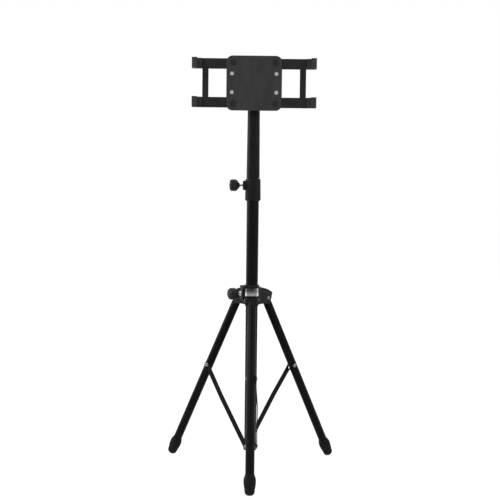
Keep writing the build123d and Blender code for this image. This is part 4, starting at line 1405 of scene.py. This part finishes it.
@dataclass
class Head:
    """The panning yoke, the tilting block between its cheeks, and their bolts."""

    tilt_height: float = HEAD_HEIGHT
    cheek: float = 11.7
    washer: float = 1.2
    washer_r: float = 6.4
    right_bore: float = 2.0
    bolt_r: float = 3.0
    bolt_flat: float = 4.6765
    bolt_head: float = 4.0
    bolt_face: float = 0.93
    bolt_ease: float = 0.4
    bolt_tail: float = 9.0
    thread_r: float = 1.92
    knob_face: float = 13.4

    @property
    def axes(self) -> Axes:
        """Origin on the tilt axis, z along +X."""
        return Axes.along(UP * self.tilt_height, EAST, UP)

    def build(self, bench: Bench) -> None:
        """Makes the yoke, the block, the bolts, the washers and the knob.

        Args:
            bench: Where its pieces are made.
        """
        bench.dress("cast_yoke", "swivel_yoke", Slot.HOLDER, 0.5)
        bench.dress("cast_tilt_block", "tilt_block", Slot.HOLDER, 0.4)
        bench.make("hex_tilt_bolt", self.bolt(), Slot.ZINC, "tilt_bolt")
        left = pipe(self.axes, self.washer_r, self.bolt_r, -self.cheek - self.washer, -self.cheek, 0.2)
        right = pipe(self.axes, self.washer_r, self.right_bore, self.cheek, self.cheek + self.washer, 0.2)
        bench.make("flat_tilt_washers", left + right, Slot.ZINC, "tilt_washers")
        knob = ClampKnob().surface(self.axes.shifted(self.knob_face))
        bench.make("lobed_tilt_knob", knob, Slot.KNOB, "tilt_knob")
        bench.dress("turned_spin_bolt", "spin_bolt", Slot.ZINC, 0.2)
        bench.keep("spin_washer", Slot.ZINC)

    def bolt(self) -> Surface:
        """The tilt bolt: a chamfered hexagon head, then the round shank and the thinner end in the knob.

        Returns:
            The closed surface.
        """
        start = -self.cheek - self.washer
        top = start - self.bolt_head
        tail = self.knob_face + self.bolt_tail
        corner = self.bolt_flat / np.cos(TURN / 12)
        face = self.bolt_flat * self.bolt_face
        rows = [
            (POLE_R, top),
            (face, top),
            (self.bolt_flat, top + self.bolt_ease),
            (self.bolt_flat, start),
            (self.bolt_r, start),
            (self.bolt_r, self.cheek),
            (self.thread_r, self.cheek),
            (self.thread_r, tail - self.bolt_ease),
            (self.thread_r - self.bolt_ease, tail),
            (POLE_R, tail),
        ]
        flats = [False, False, True, True] + [False] * 6
        limit = [corner, face, corner, corner] + [corner] * 6
        return turned(self.axes, rows, 96, flats=flats, limit=limit)


# Holder


@dataclass
class Holder:
    """The holder's tray: body, cover, screws, pads and buttons."""

    centre: float = HEAD_HEIGHT
    cover_front: float = -27.0
    button_r: float = 5.0
    button_height: float = 1.4
    button_x: float = 34.0
    button_z: float = 33.0
    groove: tuple[float, float, float, float] = (3.4, 3.1, 2.5, 2.2)
    groove_depth: float = 0.4

    def build(self, bench: Bench) -> None:
        """Makes the tray's pieces.

        Args:
            bench: Where its pieces are made.
        """
        bench.dress("moulded_holder_body", "holder_body", Slot.HOLDER, 0.3)
        bench.dress("moulded_holder_cover", "holder_cover", Slot.HOLDER, 0.25)
        bench.dress("cross_cover_screws", "cover_screws", Slot.ZINC, 0.0)
        bench.make("ringed_rest_buttons", self.buttons(), Slot.PAD, "rest_pads")
        bench.keep("friction_pads", Slot.PAD)

    def buttons(self) -> Surface:
        """Four rubber buttons, each a low disc with a ring groove and a soft edge, on the tray's front.

        Returns:
            The four buttons.
        """
        top = self.button_height
        rim, outer, inner, middle = self.groove
        rows = [
            (POLE_R, 0.0, 0),
            (self.button_r, 0.0, 0.1),
            (self.button_r, top, 0.5),
            (rim, top, 0.15),
            (outer, top - self.groove_depth, 0.15),
            (inner, top - self.groove_depth, 0.15),
            (middle, top, 0.15),
            (POLE_R, top, 0),
        ]
        profile = moulded(rows, 5)
        made: list[Surface] = []
        for x in (-self.button_x, self.button_x):
            for z in (-self.button_z, self.button_z):
                centre = np.array([x, self.cover_front, self.centre + z])
                made.append(turned(Axes.along(centre, -NORTH, EAST), profile, 40))
        return reduce(add, made)


@dataclass
class GripArm:
    """One sliding bracket with its two claws, their liners and their screws."""

    hand: Hand
    centre: float = HEAD_HEIGHT
    claw_z: float = 31.1
    liner_outer: float = 96.0
    liner: float = 3.0
    liner_back: float = -28.1
    liner_front: float = -39.4
    liner_half: float = 8.0
    rib_depth: float = 0.25
    rib_pitch: float = 1.6
    rib_share: float = 0.4
    end_ease: float = 0.3
    screw_x: float = 90.5
    screw_back: float = -22.2
    screw_front: float = -27.5
    screw_r: float = 1.5
    screw_head_r: float = 2.8
    screw_head: float = 1.4
    socket_mouth: float = 1.15
    socket_r: float = 1.05
    socket_floor: float = 0.35

    def build(self, bench: Bench) -> None:
        """Makes the arm's pieces.

        Args:
            bench: Where its pieces are made.
        """
        word = self.hand.word
        bench.dress(f"pressed_{word}_bracket", f"{word}_bracket", Slot.PLATE, 0.3)
        bench.dress(f"moulded_{word}_claws", f"{word}_claws", Slot.CLAW, 0.4)
        liners = self.ribbed(self.claw_z) + self.ribbed(-self.claw_z)
        bench.make(f"ribbed_{word}_liners", liners, Slot.PAD, f"{word}_claw_pads")
        screws = self.screw(self.claw_z) + self.screw(-self.claw_z)
        bench.make(f"socket_{word}_screws", screws, Slot.ZINC, f"{word}_claw_screws")

    def ribbed(self, offset: float) -> Surface:
        """A liner: an eased rectangle carried upwards, its gripping side waved by a cosine of the height.

        Args:
            offset: Its height over the holder's middle.

        Returns:
            The closed surface.
        """
        outer, inner = self.liner_outer, self.liner_outer - self.liner
        front, back = self.liner_front, self.liner_back
        loop = eased([(inner, front), (outer, front), (outer, back), (inner, back)], 0.4, closed=True)
        rise = np.linspace(-self.liner_half, self.liner_half, 81)[:, None]
        plain = self.liner * (1 - self.rib_share)
        ribbed = np.clip((outer - loop[:, 0] - plain) / (self.liner * self.rib_share), 0, 1)[None, :]
        wave = self.rib_depth * (1 - np.cos(TURN * rise / self.rib_pitch)) * ribbed
        end = np.clip((np.abs(rise) - self.liner_half + self.end_ease) / self.end_ease, 0, 1)
        end = end * self.rib_depth * ribbed
        x = loop[None, :, 0] + wave + end
        y = loop[None, :, 1] + 0 * rise
        z = self.centre + offset + rise + 0 * x
        return skin(np.stack([x * self.hand.value, y, z], axis=-1))

    def screw(self, offset: float) -> Surface:
        """A round-headed screw seen from behind: a shank, a domed head and a hexagonal socket in it.

        Args:
            offset: Its height over the holder's middle.

        Returns:
            The closed surface.
        """
        shank = self.screw_back - self.screw_front
        rows = [
            (POLE_R, 0.0),
            (self.screw_r, 0.0),
            (self.screw_r, shank),
            (self.screw_head_r * 0.98, shank),
            (self.screw_head_r, shank + 0.35),
            (self.screw_head_r * 0.88, shank + self.screw_head * 0.75),
            (self.screw_head_r * 0.62, shank + self.screw_head),
            (self.socket_mouth, shank + self.screw_head),
            (self.socket_r, shank + self.screw_head * self.socket_floor),
            (POLE_R, shank + self.screw_head * self.socket_floor),
        ]
        flats = [False] * 7 + [True, True, False]
        centre = np.array([self.hand.value * self.screw_x, self.screw_front, self.centre + offset])
        return turned(Axes.along(centre, NORTH, UP), rows, 48, flats=flats)


# Studio


def hung(name: str, data: Any, columns: list[Array], place: Array) -> bpy.types.Object:
    """A camera or a lamp, aimed and in its place.

    Args:
        name: The object's name.
        data: Its camera or lamp data.
        columns: Its right, its up and its reversed view direction.
        place: Where it stands, in metres.

    Returns:
        The object.
    """
    made = shown(name, data)
    matrix = np.eye(4)
    matrix[:3, :3] = np.column_stack(columns)
    matrix[:3, 3] = place
    made.matrix_world = Matrix(matrix.tolist())
    return made


@dataclass
class Studio:
    """A plain pale floor, soft lamps and the camera."""

    LAMPS = (
        ("key_lamp", (-1.7, -1.5, 2.1), 0.8, 34.0),
        ("fill_lamp", (1.9, -1.2, 1.3), 1.4, 12.0),
        ("side_lamp", (-2.3, 0.5, 1.0), 1.4, 30.0),
        ("back_lamp", (0.6, 1.9, 2.2), 1.4, 26.0),
    )

    camera_place: Triple = (-0.14, -1740.7, 504.7)
    pitch: float = 4.52
    yaw: float = -0.12
    roll: float = 0.63
    focal: float = 1050.0
    image: float = 500.0
    sensor: float = 36.0
    reach: float = 100.0
    floor_radius: float = 9000.0
    floor_start: float = 0.01
    floor_rings: int = 24
    floor_grey: float = 0.9
    floor_white: float = 1.12
    floor_share: float = 0.82
    world_level: float = 0.55
    aim_height: float = 0.35

    def build(self) -> None:
        """Makes the camera, the floor, the world and the lamps."""
        self.camera()
        self.floor()
        self.world()
        for lamp in self.LAMPS:
            self.lamp(*lamp)

    def camera(self) -> None:
        """The camera: its columns are the rolled right, the rolled up and the reversed view direction."""
        pitch, yaw, roll = np.radians([self.pitch, self.yaw, self.roll])
        forward = np.array([np.sin(yaw) * np.cos(pitch), np.cos(yaw) * np.cos(pitch), -np.sin(pitch)])
        right = np.array([np.cos(yaw), -np.sin(yaw), 0.0])
        up = np.cross(right, forward)
        turned_right = np.cos(roll) * right + np.sin(roll) * up
        turned_up = np.cos(roll) * up - np.sin(roll) * right
        data = bpy.data.cameras.new("camera")
        data.sensor_width = self.sensor
        data.lens = data.sensor_width * self.focal / self.image
        data.clip_end = self.reach
        place = np.array(self.camera_place) * MM
        bpy.context.scene.camera = hung("camera", data, [turned_right, turned_up, -forward], place)

    def floor(self) -> None:
        """A round floor: rings of radius R s^2 about the mast, flat at z = 0, with no face round its rim."""
        s = np.linspace(self.floor_start, 1, self.floor_rings)[:, None]
        radius = self.floor_radius * s**2
        made = skin(round_grid(radius, around(64), np.zeros_like(radius)))
        mesh = mesh_of("pale_floor", made.points * MM, made.faces[:-1])
        mesh.materials.append(self.floor_material())
        shown("pale_floor", mesh)

    def floor_material(self) -> bpy.types.Material:
        """White to the camera, with about a fifth of it lit, so that the object's shadow stays.

        Returns:
            The finished material.
        """
        material = empty_material("pale_floor_paint")
        make = Tree(material.node_tree)
        output = make.node("ShaderNodeOutputMaterial")
        lit = make.node("ShaderNodeBsdfDiffuse")
        lit.inputs["Color"].default_value = (self.floor_grey, self.floor_grey, self.floor_grey, 1.0)
        white = make.node("ShaderNodeEmission")
        white.inputs["Strength"].default_value = self.floor_white
        mix = make.node("ShaderNodeMixShader")
        share = make.node("ShaderNodeMath", operation="MULTIPLY")
        share.inputs[1].default_value = self.floor_share
        make.join(make.seen(), share.inputs[0])
        make.join(share.outputs[0], mix.inputs[0])
        make.join(lit.outputs[0], mix.inputs[1])
        make.join(white.outputs[0], mix.inputs[2])
        make.join(mix.outputs[0], output.inputs["Surface"])
        return material

    def world(self) -> None:
        """White where it is seen, and a plain grey light elsewhere."""
        world = bpy.data.worlds.new("studio")
        world.use_nodes = True
        make = Tree(world.node_tree)
        back = world.node_tree.nodes["Background"]
        back.inputs["Color"].default_value = (1.0, 1.0, 1.0, 1.0)
        strength = make.node("ShaderNodeMapRange")
        strength.inputs["To Min"].default_value = self.world_level
        strength.inputs["To Max"].default_value = 1.0
        make.join(make.seen(), strength.inputs["Value"])
        make.join(strength.outputs["Result"], back.inputs["Strength"])
        bpy.context.scene.world = world

    def lamp(self, name: str, place: Triple, size: float, power: float) -> None:
        """A soft square lamp aimed at the stand's middle.

        Args:
            name: The lamp's name.
            place: Where it hangs, in metres.
            size: Its side in metres.
            power: Its power in watts.
        """
        data = bpy.data.lights.new(name, "AREA")
        data.shape = "SQUARE"
        data.size = size
        data.energy = power
        back = np.array(place) - UP * self.aim_height
        back /= np.linalg.norm(back)
        side = np.cross(UP, back)
        side /= np.linalg.norm(side)
        hung(name, data, [side, np.cross(back, side), back], np.array(place))


def main() -> None:
    """Loads the frame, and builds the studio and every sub-assembly."""
    logging.basicConfig(level=logging.INFO, format="%(name)s %(message)s")
    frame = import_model()
    bpy.context.scene.view_settings.view_transform = "Standard"
    Studio().build()
    bench = Bench(frame)
    Mast().build(bench)
    Hub().build(bench)
    for heading in Heading:
        Leg(heading).build(bench)
    Riser().build(bench)
    Head().build(bench)
    Holder().build(bench)
    for hand in Hand:
        GripArm(hand).build(bench)


if __name__ == "__main__":
    main()
